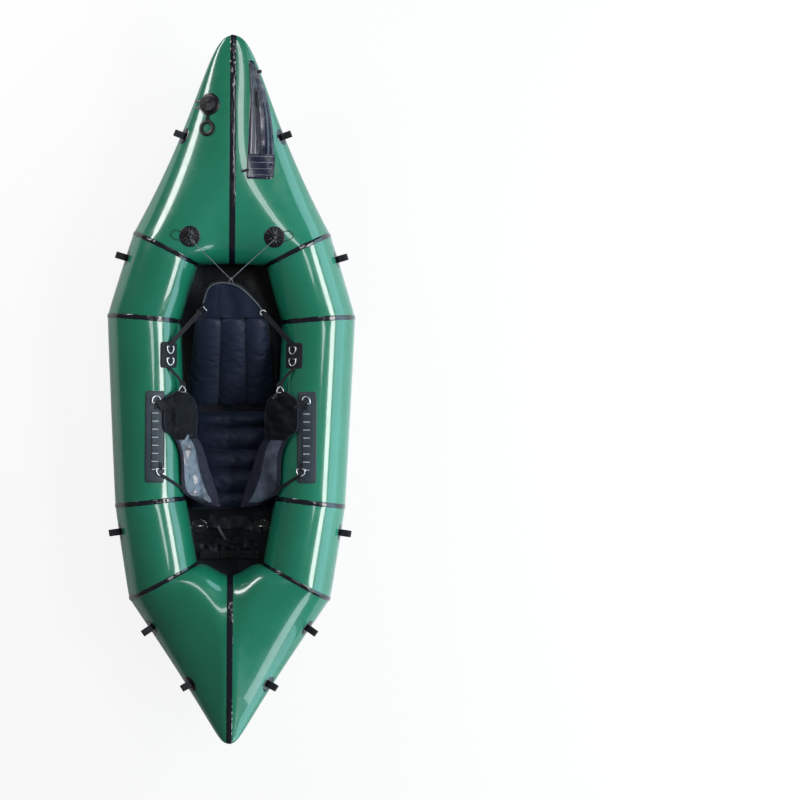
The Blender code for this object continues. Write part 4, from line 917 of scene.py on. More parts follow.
def through(points, count, closed=False):
    """Points at even spacing on a smooth curve through the given ones."""
    points = [Vector(p) for p in points]
    ring = points[-1:] + points + points[:2] if closed else with_ends(points)
    line = [curve_point(*span, k / 24) for span in zip(ring, ring[1:], ring[2:], ring[3:]) for k in range(24)]
    line.append(line[0] if closed else points[-1])
    line = np.array(line)
    way = way_along(line)
    made = points_at(line, way, np.linspace(0, way[-1], count + 1 if closed else count))
    return made[:-1] if closed else made


def ribbon(name, grid, thickness, material, ends=True):
    """A strap round a grid of its middle points, rows along it, with rounded edges."""
    grid = np.array(grid, float)
    half = thickness / 2
    normal = grid_normals(grid)
    across = unit(np.gradient(grid, axis=1))
    inset = grid.copy()
    inset[:, 0] += across[:, 0] * half * 0.5
    inset[:, -1] -= across[:, -1] * half * 0.5
    top, under = inset + normal * half, inset - normal * half
    loop = np.concatenate([grid[:, :1], top, grid[:, -1:], under[:, ::-1]], 1)
    made = grid_object(name, loop, material, wrap=True)
    if ends:
        cap_ends(made, len(loop), loop.shape[1])
    return outward(made)


@contextmanager
def form_of(obj):
    """An object's mesh, open for changes that are written back at the end."""
    form = bmesh.new()
    form.from_mesh(obj.data)
    yield form
    form.to_mesh(obj.data)
    form.free()


def cap_ends(obj, rows, columns):
    with form_of(obj) as form:
        form.verts.ensure_lookup_table()
        for first in (0, (rows - 1) * columns):
            form.faces.new([form.verts[first + k] for k in range(columns)])


def outward(obj):
    """Turns a closed mesh's faces so that they all look out."""
    with form_of(obj) as form:
        bmesh.ops.recalc_face_normals(form, faces=form.faces)
    obj.data.shade_smooth()
    obj.data.set_sharp_from_angle(angle=math.radians(60))
    return obj


def strap_grid(line, width, columns, facing):
    """Rows across a strap along a line. The facing is its normal, or one for each point."""
    line = np.array(line, float)
    across = unit(np.cross(np.gradient(line, axis=0), np.array(facing, float) * np.ones((len(line), 1))))
    width = width * np.ones(len(line))
    shares = np.linspace(-0.5, 0.5, columns)
    return line[:, None] + across[:, None] * (shares[None, :, None] * width[:, None, None])


def tube(name, line, radius, material, sides=12, closed=False):
    """A round wire or cord along a line of points."""
    line = np.array(line, float)
    along = unit(np.roll(line, -1, 0) - np.roll(line, 1, 0) if closed else np.gradient(line, axis=0))
    side = Vector(along[0]).orthogonal().normalized()
    rows = []
    for point, way, r in zip(line, along, radius * np.ones(len(line))):
        way = Vector(way)
        side = (side - way * side.dot(way)).normalized()
        other = way.cross(side)
        rows.append([Vector(point) + (side * math.cos(t) + other * math.sin(t)) * r for t in turns_of(sides)])
    rows = np.array(rows)
    if closed:
        shift = min(range(sides), key=lambda s: np.linalg.norm(np.roll(rows[0], s, 0) - rows[-1]))
        rows = np.concatenate([rows, np.roll(rows[0], shift, 0)[None]])
    made = grid_object(name, rows, material, wrap=True)
    if not closed:
        cap_ends(made, len(rows), sides)
    return outward(made)


PATCH_HEIGHT = 0.0022
PATCH_CORNER = 0.010
STITCH_SHARE = 0.6
STITCH_LIFT = np.array([0, 0, 0.0004])


def patch(name, centre, size, material, columns, rows, seed):
    """A piece of cloth bonded on the skin from above, with rounded corners and thin edges."""
    grid = []
    for b in np.linspace(-1, 1, rows):
        row = []
        for a in np.linspace(-1, 1, columns):
            pull = PATCH_CORNER * 0.42 * abs(a * b) ** 9
            u = centre[0] + a * size[0] / 2 - math.copysign(pull, a)
            v = centre[1] + b * size[1] / 2 - math.copysign(pull, b)
            level = 1 - smooth((max(abs(a), abs(b)) - 0.93) / 0.07) * 1.3
            level += wobble(u, v, 0, 60, seed) * 0.12
            row.append(lifted(u, v, PATCH_HEIGHT * level))
        grid.append(row)
    return face_up(grid_object(name, grid, material))


def face_up(obj):
    """Turns an open sheet's faces so that most look up."""
    if sum(p.normal.z * p.area for p in obj.data.polygons) < 0:
        obj.data.flip_normals()
    return obj


def mirrored_copy(obj, side):
    """Moves what was built on the port side to the side wanted."""
    if side < 0:
        obj.data.transform(Matrix.Scale(-1, 4, (1, 0, 0)))
        obj.data.flip_normals()
    return obj


def stitches(name, line, pitch, material, radius=0.00055):
    """A row of thread stitches along a line."""
    line = through(line, max(4, len(line) * 3))
    way = way_along(line)
    reach = pitch * STITCH_SHARE
    parts = []
    for start in np.arange(pitch * 0.3, way[-1] - reach, pitch):
        points = points_at(line, way, start + np.array([0, 0.5, 1]) * reach) + STITCH_LIFT
        points[1] += STITCH_LIFT
        parts.append(tube("stitch", points, np.array([0.6, 1, 0.6]) * radius, material, sides=6))
    return joined(name, parts)


# Metal rings in their webbing lugs
RING_WIDTH = 0.032
RING_REACH = 0.026
RING_WIRE = 0.0025
LUG_RISE = 0.0033
LUG_WIDTH = 0.0125
WEBBING_WIDTH = 0.025


def ring_line():
    half = RING_WIDTH / 2
    points = [(0, 0, 0), (half * 0.55, 0, 0), (half * 0.93, 0, 0), (half, RING_REACH * 0.10, 0)]
    for turn in np.radians((8, 30, 50, 70)):
        points.append((half * math.cos(turn), RING_REACH * (0.25 + 0.75 * math.sin(turn)), 0))
    left = [(-x, y, z) for x, y, z in points[:0:-1]]
    return through(points + [(0, RING_REACH, 0)] + left, 56, closed=True)


def d_ring(name, frame, side):
    line = [frame @ Vector(p) for p in ring_line()]
    made = mirrored_copy(tube(name, line, RING_WIRE, STEEL, closed=True), side)
    return placed(made, name, name, slot="ring_steel")


def ring_frame(share, backwards):
    """Where a ring lies over a patch, turned round if it points backwards."""
    frame = skin_frame(*plan(share), RING_WIDTH / 2) @ Matrix.Translation((0, 0, PATCH_HEIGHT + LUG_RISE))
    return frame @ Matrix.Rotation(math.pi, 4, "Z") if backwards else frame


def lug(frame, reach=0.024, drop_by=LUG_RISE):
    """A webbing tab round a ring's bar, sewn down behind it."""
    turn = RING_WIRE + 0.0012
    line = [(-reach, 0.0006 - drop_by), (-reach * 0.6, 0.0010 - drop_by), (-0.0062, 0.0018 - drop_by)]
    line += [(turn * math.cos(t), turn * math.sin(t)) for t in np.radians((150, 110, 70, 30, -10))]
    line += [(0.0022, 0.0008 - drop_by)]
    line = through([(0, y, z) for y, z in line], 30)
    grid = [[frame @ Vector((x, y, z)) for x in np.linspace(-0.5, 0.5, 7) * LUG_WIDTH] for _, y, z in line]
    parts = [ribbon("lug", grid, 0.0015, WEBBING)]
    for y in (-reach * 0.88, -reach * 0.42):
        ends = [frame @ Vector((s * LUG_WIDTH, y, 0.0022 - drop_by)) for s in (-0.42, 0, 0.42)]
        parts.append(tube("tack", ends, 0.0010, THREAD, sides=8))
    return parts


# Adjustment strips with their webbing ladder, bar tacks and two rings each
STRIP_SIZE = (0.076, 0.352)
STRIP_PLACE_SHARE = (0.864, -0.136)
STRIP_RING_SHARES = {"aft": (0.852, -0.040), "fore": (0.800, -0.226)}
TACKS = 8
TACK_PITCH = 0.0302
TACK_START = 0.092


def hem_stitches(x, y, size, inset):
    """Stitches along the four edges of a patch."""
    half, end = size[0] / 2 - inset, size[1] / 2 - inset
    corners = [(-half, -end), (half, -end), (half, end), (-half, end), (-half, -end)]
    parts = []
    for a, b in zip(corners, corners[1:]):
        count = max(8, round((abs(a[0] - b[0]) + abs(a[1] - b[1])) / 0.011))
        line = [lifted(x + mix(a[0], b[0], t), y + mix(a[1], b[1], t), PATCH_HEIGHT + 0.0001)
                for t in np.linspace(0, 1, count)]
        parts.append(stitches("hem", line, 0.0052, THREAD))
    return parts


def ladder(x):
    """Webbing that is sewn down by bar tacks and stands up a little between them."""
    start, stop = -TACK_START + 0.010, -TACK_START - TACK_PITCH * (TACKS - 1) - 0.008
    rows = []
    for y in np.linspace(start, stop, 110):
        step = (-TACK_START - y) / TACK_PITCH
        hump = max(0.0, math.sin(math.pi * (step % 1.0))) ** 0.8 if 0 < step < TACKS - 1 else 0.0
        height = PATCH_HEIGHT + 0.0009 + hump * 0.0016
        rows.append([lifted(x + w, y, height) for w in np.linspace(-0.5, 0.5, 9) * WEBBING_WIDTH])
    parts = [ribbon("ladder", rows, 0.0016, STRIP)]
    for k in range(TACKS):
        y = -TACK_START - TACK_PITCH * k
        line = [lifted(x + w, y, PATCH_HEIGHT + 0.0022) for w in np.linspace(-0.46, 0.46, 7) * WEBBING_WIDTH]
        parts.append(tube("tack", line, 0.0015, TACK, sides=8))
    return parts


def make_strips():
    x, y = plan(STRIP_PLACE_SHARE)
    for word, side in SIDES.items():
        parts = [patch("strip", (x, y), STRIP_SIZE, STRIP, 20, 70, side)]
        parts += hem_stitches(x, y, STRIP_SIZE, 0.005)
        parts += ladder(x - 0.001)
        for end, share in STRIP_RING_SHARES.items():
            frame = ring_frame(share, end == "fore")
            parts += lug(frame)
            d_ring(f"strip_ring_{end}_{word}", frame, side)
        whole = mirrored_copy(joined(f"strip_{word}", parts), side)
        placed(whole, "raft", f"adjust_strip_{word}", slot="strip_grey")


# Patches beside the backrest
SIDE_PATCH_SIZE = (0.064, 0.100)
SIDE_PATCH_PLACE_SHARE = (0.715, 0.0960)
PATCH_RING_SHARES = {"aft": (0.705, 0.1203), "fore": (0.705, 0.0867)}


def make_side_patches():
    x, y = plan(SIDE_PATCH_PLACE_SHARE)
    for word, side in SIDES.items():
        parts = [patch("patch", (x, y), SIDE_PATCH_SIZE, WEBBING, 18, 26, side * 2)]
        parts += hem_stitches(x, y, SIDE_PATCH_SIZE, 0.006)
        for end, share in PATCH_RING_SHARES.items():
            frame = ring_frame(share, True)
            parts += lug(frame, reach=0.017)
            d_ring(f"patch_ring_{end}_{word}", frame, side)
        whole = mirrored_copy(joined(f"patch_{word}", parts), side)
        placed(whole, "raft", f"side_patch_{word}", slot="webbing_black")


# Tie-down loops: folded webbing on oval bases
LOOP_DEG = 18.0
LOOP_REACH = 0.025
LOOP_HEIGHT = 0.019
LOOP_PLACE_SHARES = {
    "tie_loop_stern": ("stern", 0.31),
    "tie_loop_aft": ("aft", 0.30),
    "tie_loop_fore": ("fore", 0.28),
    "tie_loop_bow": ("bow", 0.085),
    "tie_loop_nose": ("bow", 0.305),
}


def outboard_frame(part, share):
    """A frame on the hull's outboard face: X along the boat, Z straight out of the hull."""
    turns = np.radians([LOOP_DEG - 6, LOOP_DEG, LOOP_DEG + 6])
    low, point, high = (Vector(p) for p in hull_points(part, turns, share))
    ahead = Vector(hull_points(part, turns, share + 0.01)[1]) - point
    normal = ahead.cross(high - low).normalized()
    if normal.x < 0:
        normal = -normal
    return frame_at(point, ahead - normal * ahead.dot(normal), normal)


def loop_ring(lean):
    """The side view of the folded webbing: an eye that narrows towards its far end."""
    half = LOOP_HEIGHT / 2
    root = half + 0.0006
    ring = []
    for t in turns_of(64):
        z = -math.cos(t)
        reach = root + (LOOP_REACH / 2) * (1 + math.copysign(min(1, abs(z) * 2.2), z)) + half * z
        height = half * math.sin(t) * (1 - 0.22 * smooth((reach - root) / LOOP_REACH))
        ring.append((height + lean * smooth(reach / 0.04), reach))
    return ring + ring[:1]


def make_tie_loops():
    for number, (word, (part, share)) in enumerate(LOOP_PLACE_SHARES.items()):
        for side_word, side in SIDES.items():
            frame = outboard_frame(part, share)
            rows = []
            for y, z in loop_ring(wobble(number, side, 1, 0.7, 4) * 0.003):
                sag = 0.0006 * math.sin(z * 300 + number)
                spots = np.linspace(-0.5, 0.5, 9) * WEBBING_WIDTH
                rows.append([frame @ Vector((x, y + sag, z)) for x in spots])
            loop = ribbon(f"loop_{word[9:]}_{side_word}", rows, 0.0018, WEBBING, ends=False)
            parts = [loop]
            for z in (0.012, 0.016):
                y = LOOP_HEIGHT / 2 * 0.98 + 0.001
                ends = [frame @ Vector((x, y, z)) for x in np.linspace(-0.4, 0.4, 5) * WEBBING_WIDTH]
                parts.append(tube("tack", ends, 0.0008, THREAD, sides=6))
            loop = mirrored_copy(joined(loop.name, parts), side)
            placed(loop, f"{word}_{side_word}", f"{word}_{side_word}", slot="webbing_black")
            make_loop_base(word, side_word, side, frame)


def make_loop_base(word, side_word, side, frame):
    """The oval patch welded to the hull under a loop."""
    grid = []
    for share in np.linspace(0.05, 1, 9):
        level = 0.0011 if share < 0.95 else -0.0003
        spots = [Vector((0.033 * share * math.cos(t), 0.024 * share * math.sin(t), 0.03))
                 for t in turns_of(40)]
        grid.append([onto_skin(frame @ spot, -frame.col[2].xyz, level) for spot in spots])
    base = grid_object(f"loop_base_{word[9:]}_{side_word}", grid, TAPE, wrap=True)
    placed(mirrored_copy(base, side), "raft", slot="tape_black")


make_strips()
make_side_patches()
make_tie_loops()


# Cushions, blown up by cloth simulation
def closed_sheets(name, top, under):
    """Two sheets of the same grid size welded along their rims."""
    sheets = [grid_object(name, top, NAVY), grid_object(f"{name}_under", under, NAVY, flip=True)]
    whole = joined(name, sheets)
    with form_of(whole) as form:
        rim = [v for v in form.verts if v.is_boundary]
        bmesh.ops.remove_doubles(form, verts=rim, dist=0.0003)
        bmesh.ops.recalc_face_normals(form, faces=form.faces)
    whole.data.shade_smooth()
    return whole


PRESSURE = 4.0
BENDING = 0.30
CLOTH_FRAMES = 20


def blow_up(obj, held, most, slack):
    """Inflates a closed cushion whose welded points are held, and keeps each move under a limit."""
    start = np.array([v.co[:] for v in obj.data.vertices])
    for k, point in enumerate(start):
        if not held[k]:
            obj.data.vertices[k].co += Vector([wobble(*point, 34, s) * 0.0009 for s in (1, 2, 3)])
    group = obj.vertex_groups.new(name="welds")
    group.add([int(k) for k in np.flatnonzero(held)], 1.0, "REPLACE")
    step = obj.modifiers.new("Cloth", "CLOTH")
    cloth = step.settings
    cloth.quality = 5
    cloth.mass = 0.12
    cloth.tension_stiffness = cloth.compression_stiffness = 18
    cloth.shear_stiffness = 6
    cloth.bending_stiffness = BENDING
    cloth.shrink_min = -slack
    cloth.use_pressure = True
    cloth.uniform_pressure_force = PRESSURE
    cloth.vertex_group_mass = "welds"
    cloth.effector_weights.gravity = 0
    step.collision_settings.use_collision = False
    scene = bpy.context.scene
    for number in range(CLOTH_FRAMES):
        scene.frame_set(number + 1)
    blown = obj.evaluated_get(bpy.context.evaluated_depsgraph_get()).data
    made = np.array([v.co[:] for v in blown.vertices])
    obj.modifiers.remove(step)
    scene.frame_set(1)
    move = made - start
    length = np.linalg.norm(move, axis=1, keepdims=True)
    made = start + move * np.minimum(1, most / np.maximum(length, 1e-9))
    obj.data.vertices.foreach_set("co", made.astype(np.float32).ravel())
    obj.vertex_groups.clear()
    obj.data.update()
    return obj


def softened(obj):
    step = obj.modifiers.new("smooth", "SUBSURF")
    step.levels = step.render_levels = 1
    return obj


def rounded(share):
    """Height of a quarter circle: 0 at a share of 0, and 1 from a share of 1 on."""
    return math.sqrt(max(0.0, 1 - (1 - min(1.0, share)) ** 2))


def pillow(across):
    """How full a cushion is at a share from its middle to its side."""
    return (1 - abs(across) ** 3.2) ** 0.5


def crowded(count):
    """Shares from -1 to 1, closer together near both."""
    return np.sin(np.linspace(-1, 1, count) * math.pi / 2 * 0.985) / math.sin(math.pi / 2 * 0.985)


def make_flange(word, grid, middle, height, reach, body, frame=Matrix.Identity(4)):
    """The thin weld round a cushion, from the points round the outside of its grid."""
    rim = grid[0] + [row[-1] for row in grid[1:]] + grid[-1][-2::-1] + [row[0] for row in grid[-2:0:-1]]
    rows = [[(x * s, middle + (y - middle) * s, height) for s in (0.985, 1.0, reach)] for x, y, _ in rim]
    flange = grid_object(f"{word}_flange", rows + rows[:1], NAVY)
    step = flange.modifiers.new("thickness", "SOLIDIFY")
    step.thickness, step.offset = 0.0012, 0
    flange.data.transform(frame)
    placed(flange, body, slot="cushion_navy")


# Seat base with five cross channels
SEAT_CHANNEL_SHARES = (0.0, 0.167, 0.400, 0.600, 0.826, 1.0)
SEAT_THICKNESS = 0.062
SEAT_VALLEY = 0.040
SEAT_RIM = 0.013
FLOOR_TOP = 0.0150


def channel_of(share, edges):
    """How full a channel is at a share across them: 0 on a weld, 1 on a crown."""
    for low, high in zip(edges, edges[1:]):
        if share <= high + 1e-9:
            return max(0.0, math.sin(math.pi * (share - low) / (high - low)))
    return 0.0


def seat_grids(half, rear, length):
    top, under = [], []
    for b in sorted({round(float(s), 5) for s in np.linspace(0, 1, 86)} | set(SEAT_CHANNEL_SHARES)):
        upper, lower = [], []
        crown = channel_of(b, SEAT_CHANNEL_SHARES) ** 0.55
        end = min(1.0, min(b, 1 - b) / 0.09)
        for a in crowded(57):
            edge = pillow(a) * rounded(end)
            drawn = 1 - 0.035 * (1 - crown) * abs(a) ** 5
            corner = 0.012 * (abs(a) ** 8) * (1 - end) ** 2
            x = a * (half - corner) * drawn
            y = rear - b * length
            full = mix(SEAT_VALLEY, SEAT_THICKNESS, crown)
            upper.append((x, y, FLOOR_TOP + mix(SEAT_RIM, full, edge)))
            lower.append((x, y, FLOOR_TOP + SEAT_RIM * (1 - edge) ** 1.5))
        top.append(upper)
        under.append(lower)
    return top, under


def make_seat():
    low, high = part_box("seat")
    half, rear, length = (high[0] - low[0]) / 2, high[1], high[1] - low[1]
    top, under = seat_grids(half, rear, length)
    seat = closed_sheets("seat_cushion", top, under)
    rim_height = FLOOR_TOP + SEAT_RIM
    seams = [rear - s * length for s in SEAT_CHANNEL_SHARES[1:-1]]
    held = []
    for v in seat.data.vertices:
        x, y, z = v.co
        outer = abs(x) > half * 0.9 or min(rear - y, y - rear + length) < 0.004
        rim = abs(z - rim_height) < 0.0006 and outer
        weld = z > rim_height and min(abs(y - s) for s in seams) < 0.0008 and abs(x) < half * 0.95
        held.append(rim or weld or z < rim_height - 0.0005)
    seat = softened(blow_up(seat, np.array(held), 0.007, 0.010))
    placed(seat, "raft", "seat", slot="cushion_navy")
    make_flange("seat", top, rear - length / 2, rim_height, 1.022, "raft")
    make_seat_welds(half, rear, length)
    make_hinge(rear)


def make_seat_welds(half, rear, length):
    """Flat weld lines pressed between the seat's channels, in a darker black that is painted shade in the
    valleys.
    """
    parts = []
    for share in SEAT_CHANNEL_SHARES[1:-1]:
        y = rear - share * length
        line = [(x, y, FLOOR_TOP + mix(SEAT_RIM, SEAT_VALLEY, pillow(x / half)) + 0.0006)
                for x in np.linspace(-0.93, 0.93, 40) * half]
        parts.append(ribbon("weld", strap_grid(line, 0.0060, 5, (0, 0, 1)), 0.0014, PAINTED_SHADE))
    placed(joined("seat_welds", parts), "raft", slot="cushion_navy")


def make_hinge(rear):
    """Black cloth that joins the seat's rear to the backrest's foot; its darker black is painted shade in the
    crease between them.
    """
    rows = []
    for share in np.linspace(0, 1, 12):
        y = rear + mix(-0.012, 0.034, share)
        rise = FLOOR_TOP + 0.0150 + 0.0045 * math.sin(math.pi * share)
        rows.append([(x, y, rise + 0.0010 * wobble(x, y, 0, 45, 8)) for x in np.linspace(-0.150, 0.150, 40)])
    placed(ribbon("seat_hinge", rows, 0.0018, PAINTED_SHADE), "raft", slot="cushion_navy")


# Backrest with three lengthwise channels and a flap above them
BACK_PIVOT = Vector((0, -0.045, 0.0327))
BACK_RECLINE = math.radians(30)
BACK_FRAME = Matrix.Translation(BACK_PIVOT) @ Matrix.Rotation(BACK_RECLINE, 4, "X")
BACK_HEEL = 0.017
BACK_LENGTH = 0.373
BACK_WIDTHS = (0.328, 0.272)
BACK_CHANNEL_SHARES = (-1.0, -0.30, 0.36, 1.0)
BACK_THICKNESS = 0.056
BACK_VALLEY = 0.034
BACK_THINNING = 0.25
FLAP_POINTS = (
    (-0.116, 0.366), (-0.114, 0.403), (-0.101, 0.460), (-0.082, 0.506), (-0.052, 0.5165), (-0.020, 0.5175),
    (0.014, 0.510), (0.045, 0.492), (0.084, 0.446), (0.112, 0.403), (0.118, 0.366),
)
FLAP_CORD_POINTS = (
    (-0.108, 0.430, 0.006), (-0.088, 0.492, 0.0065), (-0.060, 0.513, 0.007), (-0.0247, 0.517, 0.007),
    (0.012, 0.508, 0.007), (0.045, 0.486, 0.007), (0.089, 0.437, 0.007), (0.112, 0.405, 0.008),
)


def back_end(b):
    """How full the backrest is at a share of its length: 0 at both ends."""
    return rounded(b / 0.08) * rounded((1 - b) / 0.14)


def back_taper(b):
    """How much of its thickness the backrest keeps towards its head."""
    return 1 - BACK_THINNING * smooth((b - 0.7) / 0.3)


def back_body_grids():
    across = sorted({round(float(a), 5) for a in crowded(61)} | set(BACK_CHANNEL_SHARES))
    top, under = [], []
    for b in np.linspace(0, 1, 90):
        upper, lower = [], []
        half = mix(*BACK_WIDTHS, b) / 2
        for a in across:
            crown = channel_of(a, BACK_CHANNEL_SHARES) ** 0.5
            start = -BACK_HEEL + 0.012 * (1 - crown)
            stop = BACK_LENGTH - 0.006 - 0.016 * (1 - crown)
            x = a * half * (1 - 0.012 * (1 - back_end(b)) * abs(a) ** 6)
            depth = mix(BACK_VALLEY, BACK_THICKNESS, crown) / 2 * pillow(a) * back_end(b) * back_taper(b)
            upper.append((x, mix(start, stop, b), depth))
            lower.append((x, mix(start, stop, b), -depth))
        top.append(upper)
        under.append(lower)
    return top, under


def make_backrest():
    top, under = back_body_grids()
    body = closed_sheets("backrest_cushion", top, under)
    held = []
    for v in body.data.vertices:
        x, y, z = v.co
        b = (y + BACK_HEEL) / (BACK_LENGTH + BACK_HEEL)
        a = x / (mix(*BACK_WIDTHS, min(1, max(0, b))) / 2)
        weld = min(abs(a - s) for s in BACK_CHANNEL_SHARES[1:-1]) < 0.006 and 0.05 < b < 0.93
        held.append(abs(z) < 0.0004 or weld)
    body = softened(blow_up(body, np.array(held), 0.008, 0.018))
    body.data.transform(BACK_FRAME)
    placed(body, "backrest", "backrest", slot="cushion_navy")
    make_flange("backrest", top, 0.18, 0, 1.018, "backrest", BACK_FRAME)
    make_back_welds()
    make_flap()


# Weld lines between the backrest's channels, in a darker black that is painted shade in the valleys
def make_back_welds():
    parts = []
    for share in BACK_CHANNEL_SHARES[1:-1]:
        line = []
        for b in np.linspace(0.05, 0.93, 46):
            x = share * mix(*BACK_WIDTHS, b) / 2
            depth = BACK_VALLEY / 2 * pillow(share) * back_end(b) * back_taper(b)
            y = mix(-BACK_HEEL + 0.012, BACK_LENGTH - 0.022, b)
            line.append(BACK_FRAME @ Vector((x, y, depth + 0.0006)))
        parts.append(ribbon("weld", strap_grid(line, 0.0050, 5, BACK_FRAME.col[2].xyz), 0.0012, PAINTED_SHADE))
    placed(joined("backrest_welds", parts), "backrest", slot="cushion_navy")


def flap_rows():
    """The flap's cloth, a little wavy, with a groove under its lengthwise seam."""
    left, right = (through([(*p, 0) for p in side], 34) for side in (FLAP_POINTS[:6], FLAP_POINTS[:4:-1]))
    grid = []
    for a, b in zip(left, right):
        row = []
        for t in np.linspace(0, 1, 30):
            x, y, _ = mix(a, b, t)
            edge = 1 - abs(2 * t - 1) ** 4
            waves = 0.0025 * math.sin((x + 0.02) * 60 + y * 9) + 0.0022 * wobble(x, y, 0, 26, 3)
            seam = math.exp(-(((x + 0.052) / 0.004) ** 2)) * 0.0016
            row.append((x, y, waves * edge - seam + 0.002))
        grid.append(row)
    return grid


def make_flap():
    """The two-ply flap above the channels, with a seam, a bound edge and its cord."""
    cloth = ribbon("backrest_flap", flap_rows(), 0.0046, NAVY)
    hem = tube("hem", through([(*p, 0.002) for p in FLAP_POINTS], 90), 0.0032, WEBBING, sides=10)
    seam = [(-0.052, y, 0.0040) for y in np.linspace(0.375, 0.512, 30)]
    seam = tube("seam", seam, 0.0016, WEBBING, sides=8)
    inner = [(x * 0.93, 0.366 + (y - 0.366) * 0.95, 0.0046) for x, y in FLAP_POINTS]
    rows = stitches("hem_stitches", inner, 0.0055, THREAD)
    flap = joined("backrest_flap", [softened(cloth), hem, seam, rows])
    flap.data.transform(BACK_FRAME)
    placed(flap, "backrest", slot="cushion_navy")
    line = [BACK_FRAME @ Vector(p) for p in through(FLAP_CORD_POINTS, 80)]
    placed(tube("flap_cord", line, 0.0017, CORD, sides=10), "backrest", slot="cord_grey")
    make_flap_fittings()


def make_flap_fittings():
    """A webbing slide at the starboard shoulder, and a white ring at the port one."""
    frame = BACK_FRAME @ Matrix.Translation((-0.112, 0.398, 0.007))
    frame = frame @ Matrix.Rotation(math.radians(38), 4, "Z")
    bars = [((-0.014, y), (0.014, y), 0.0019, PLASTIC) for y in (-0.011, 0.0, 0.011)]
    bars += [((x, -0.011), (x, 0.011), 0.0021, PALE) for x in (-0.014, 0.014)]
    parts = []
    for start, stop, radius, material in bars:
        line = [frame @ Vector((*p, 0.001)) for p in np.linspace(start, stop, 8)]
        parts.append(tube("bar", line, radius, material, sides=10))
    placed(joined("shoulder_slide", parts), "backrest", slot="valve_black")
    frame = BACK_FRAME @ Matrix.Translation((0.118, 0.392, 0.009))
    ring = [frame @ Vector((0.0105 * math.cos(t), 0.0105 * math.sin(t), 0)) for t in turns_of(36)]
    placed(tube("shoulder_ring", ring, 0.0024, PALE, sides=12, closed=True), "backrest", slot="ring_steel")


make_seat()
make_backrest()


# Webbing from the backrest's shoulders to the patches on the tube, and the stern cord
BACK_STRAP_END_SHARE = (0.705, 0.1265)
ANCHOR_PLACE_SHARE = (0.480, 0.430)
ANCHOR_RADIUS = 0.040


def make_back_straps():
    for word, side in SIDES.items():
        shoulder = BACK_FRAME @ Vector((side * 0.116, 0.396, 0.0075))
        x, y = plan(BACK_STRAP_END_SHARE, side)
        end, landing = drop(x, y)
        end = end + landing * 0.0045
        middle = shoulder.lerp(end, 0.5) - Vector((0, 0, 0.006))
        line = through([shoulder, middle, end], 40)
        facing = [BACK_FRAME.col[2].xyz.lerp(landing, t) for t in np.linspace(0, 1, 40)]
        grid = strap_grid(line, 0.020, 9, facing)
        strap = ribbon(f"back_strap_{word}", grid, 0.0017, WEBBING)
        placed_blend(strap, f"backrest_strap_{word}")


def placed_blend(obj, node):
    obj.data.transform(obj.matrix_world)
    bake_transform(obj)
    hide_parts(node)


def make_cord():
    knot = BACK_FRAME @ Vector((-0.004, 0.531, 0.002))
    parts, ends = [], []
    for side in (-1, 1):
        x, y = plan(ANCHOR_PLACE_SHARE, side)
        place = drop(x, y - ANCHOR_RADIUS * 0.25)[0] + Vector((0, 0, 0.012))
        ends.append(place)
        middle = place.lerp(knot, 0.55) - Vector((0, 0, 0.004))
        line = through([place, middle, knot + Vector((side * 0.004, 0.002, 0))], 60)
        parts.append(tube("cord", line, 0.0016, CORD, sides=10))
    turns = np.linspace(0, 4 * math.pi, 60)
    ball = [knot + Vector((0.0042 * math.cos(t), 0.0035 * math.sin(t * 1.5), 0.0035 * math.sin(t)))
            for t in turns]
    parts.append(tube("knot", ball, 0.0019, CORD, sides=8))
    for lean in (-1, 1):
        tail = [(0, 0, 0), (lean * 0.006, -0.008, 0.001), (lean * 0.009, -0.020, -0.004)]
        tail = [knot + Vector(p) for p in tail]
        parts.append(tube("tail", through(tail, 12), 0.0014, CORD, sides=8))
    cord = joined("stern_cord", parts)
    middle = (ends[0] + ends[1]) / 2
    placed_blend(cord, "backrest_cord")


ANCHOR_RINGS = (0.02, 0.12, 0.24, 0.36, 0.46, 0.56, 0.66, 0.76, 0.86, 0.95, 1.0)
KNOB_POINTS = (
    (0.0001, 0.0128), (0.0035, 0.0124), (0.0068, 0.0104),
    (0.0088, 0.0070), (0.0092, 0.0048), (0.0110, 0.0034),
)
ANCHOR_LOOP_POINTS = (
    (0.010, -0.006, 0.006), (0.040, -0.014, 0.009), (0.066, -0.004, 0.004), (0.070, 0.010, 0.003),
    (0.052, 0.024, 0.006), (0.022, 0.014, 0.008), (0.008, 0.006, 0.006),
)


def anchor_disc(x, y):
    grid = []
    for share in ANCHOR_RINGS:
        hub = 0.0024 + 0.0022 * smooth((0.55 - share) / 0.3) - 0.0030 * smooth((share - 0.94) / 0.06)
        deep = 0.0012 * smooth((0.9 - share) / 0.3) * smooth(share / 0.35)
        reach = ANCHOR_RADIUS * share
        row = []
        for t in turns_of(72):
            level = hub + deep * math.sin(t * 14 + 2 * share)
            row.append(lifted(x + reach * math.cos(t), y + reach * math.sin(t), level))
        grid.append(row)
    return face_up(grid_object("disc", grid, PLASTIC, wrap=True))


def anchor_knob(frame):
    grid = [[frame @ Vector((r * math.cos(t), r * math.sin(t), z + 0.0004 * math.sin(3 * t)))
             for t in turns_of(24)] for r, z in KNOB_POINTS]
    return face_up(grid_object("knob", grid, TAPE, wrap=True))


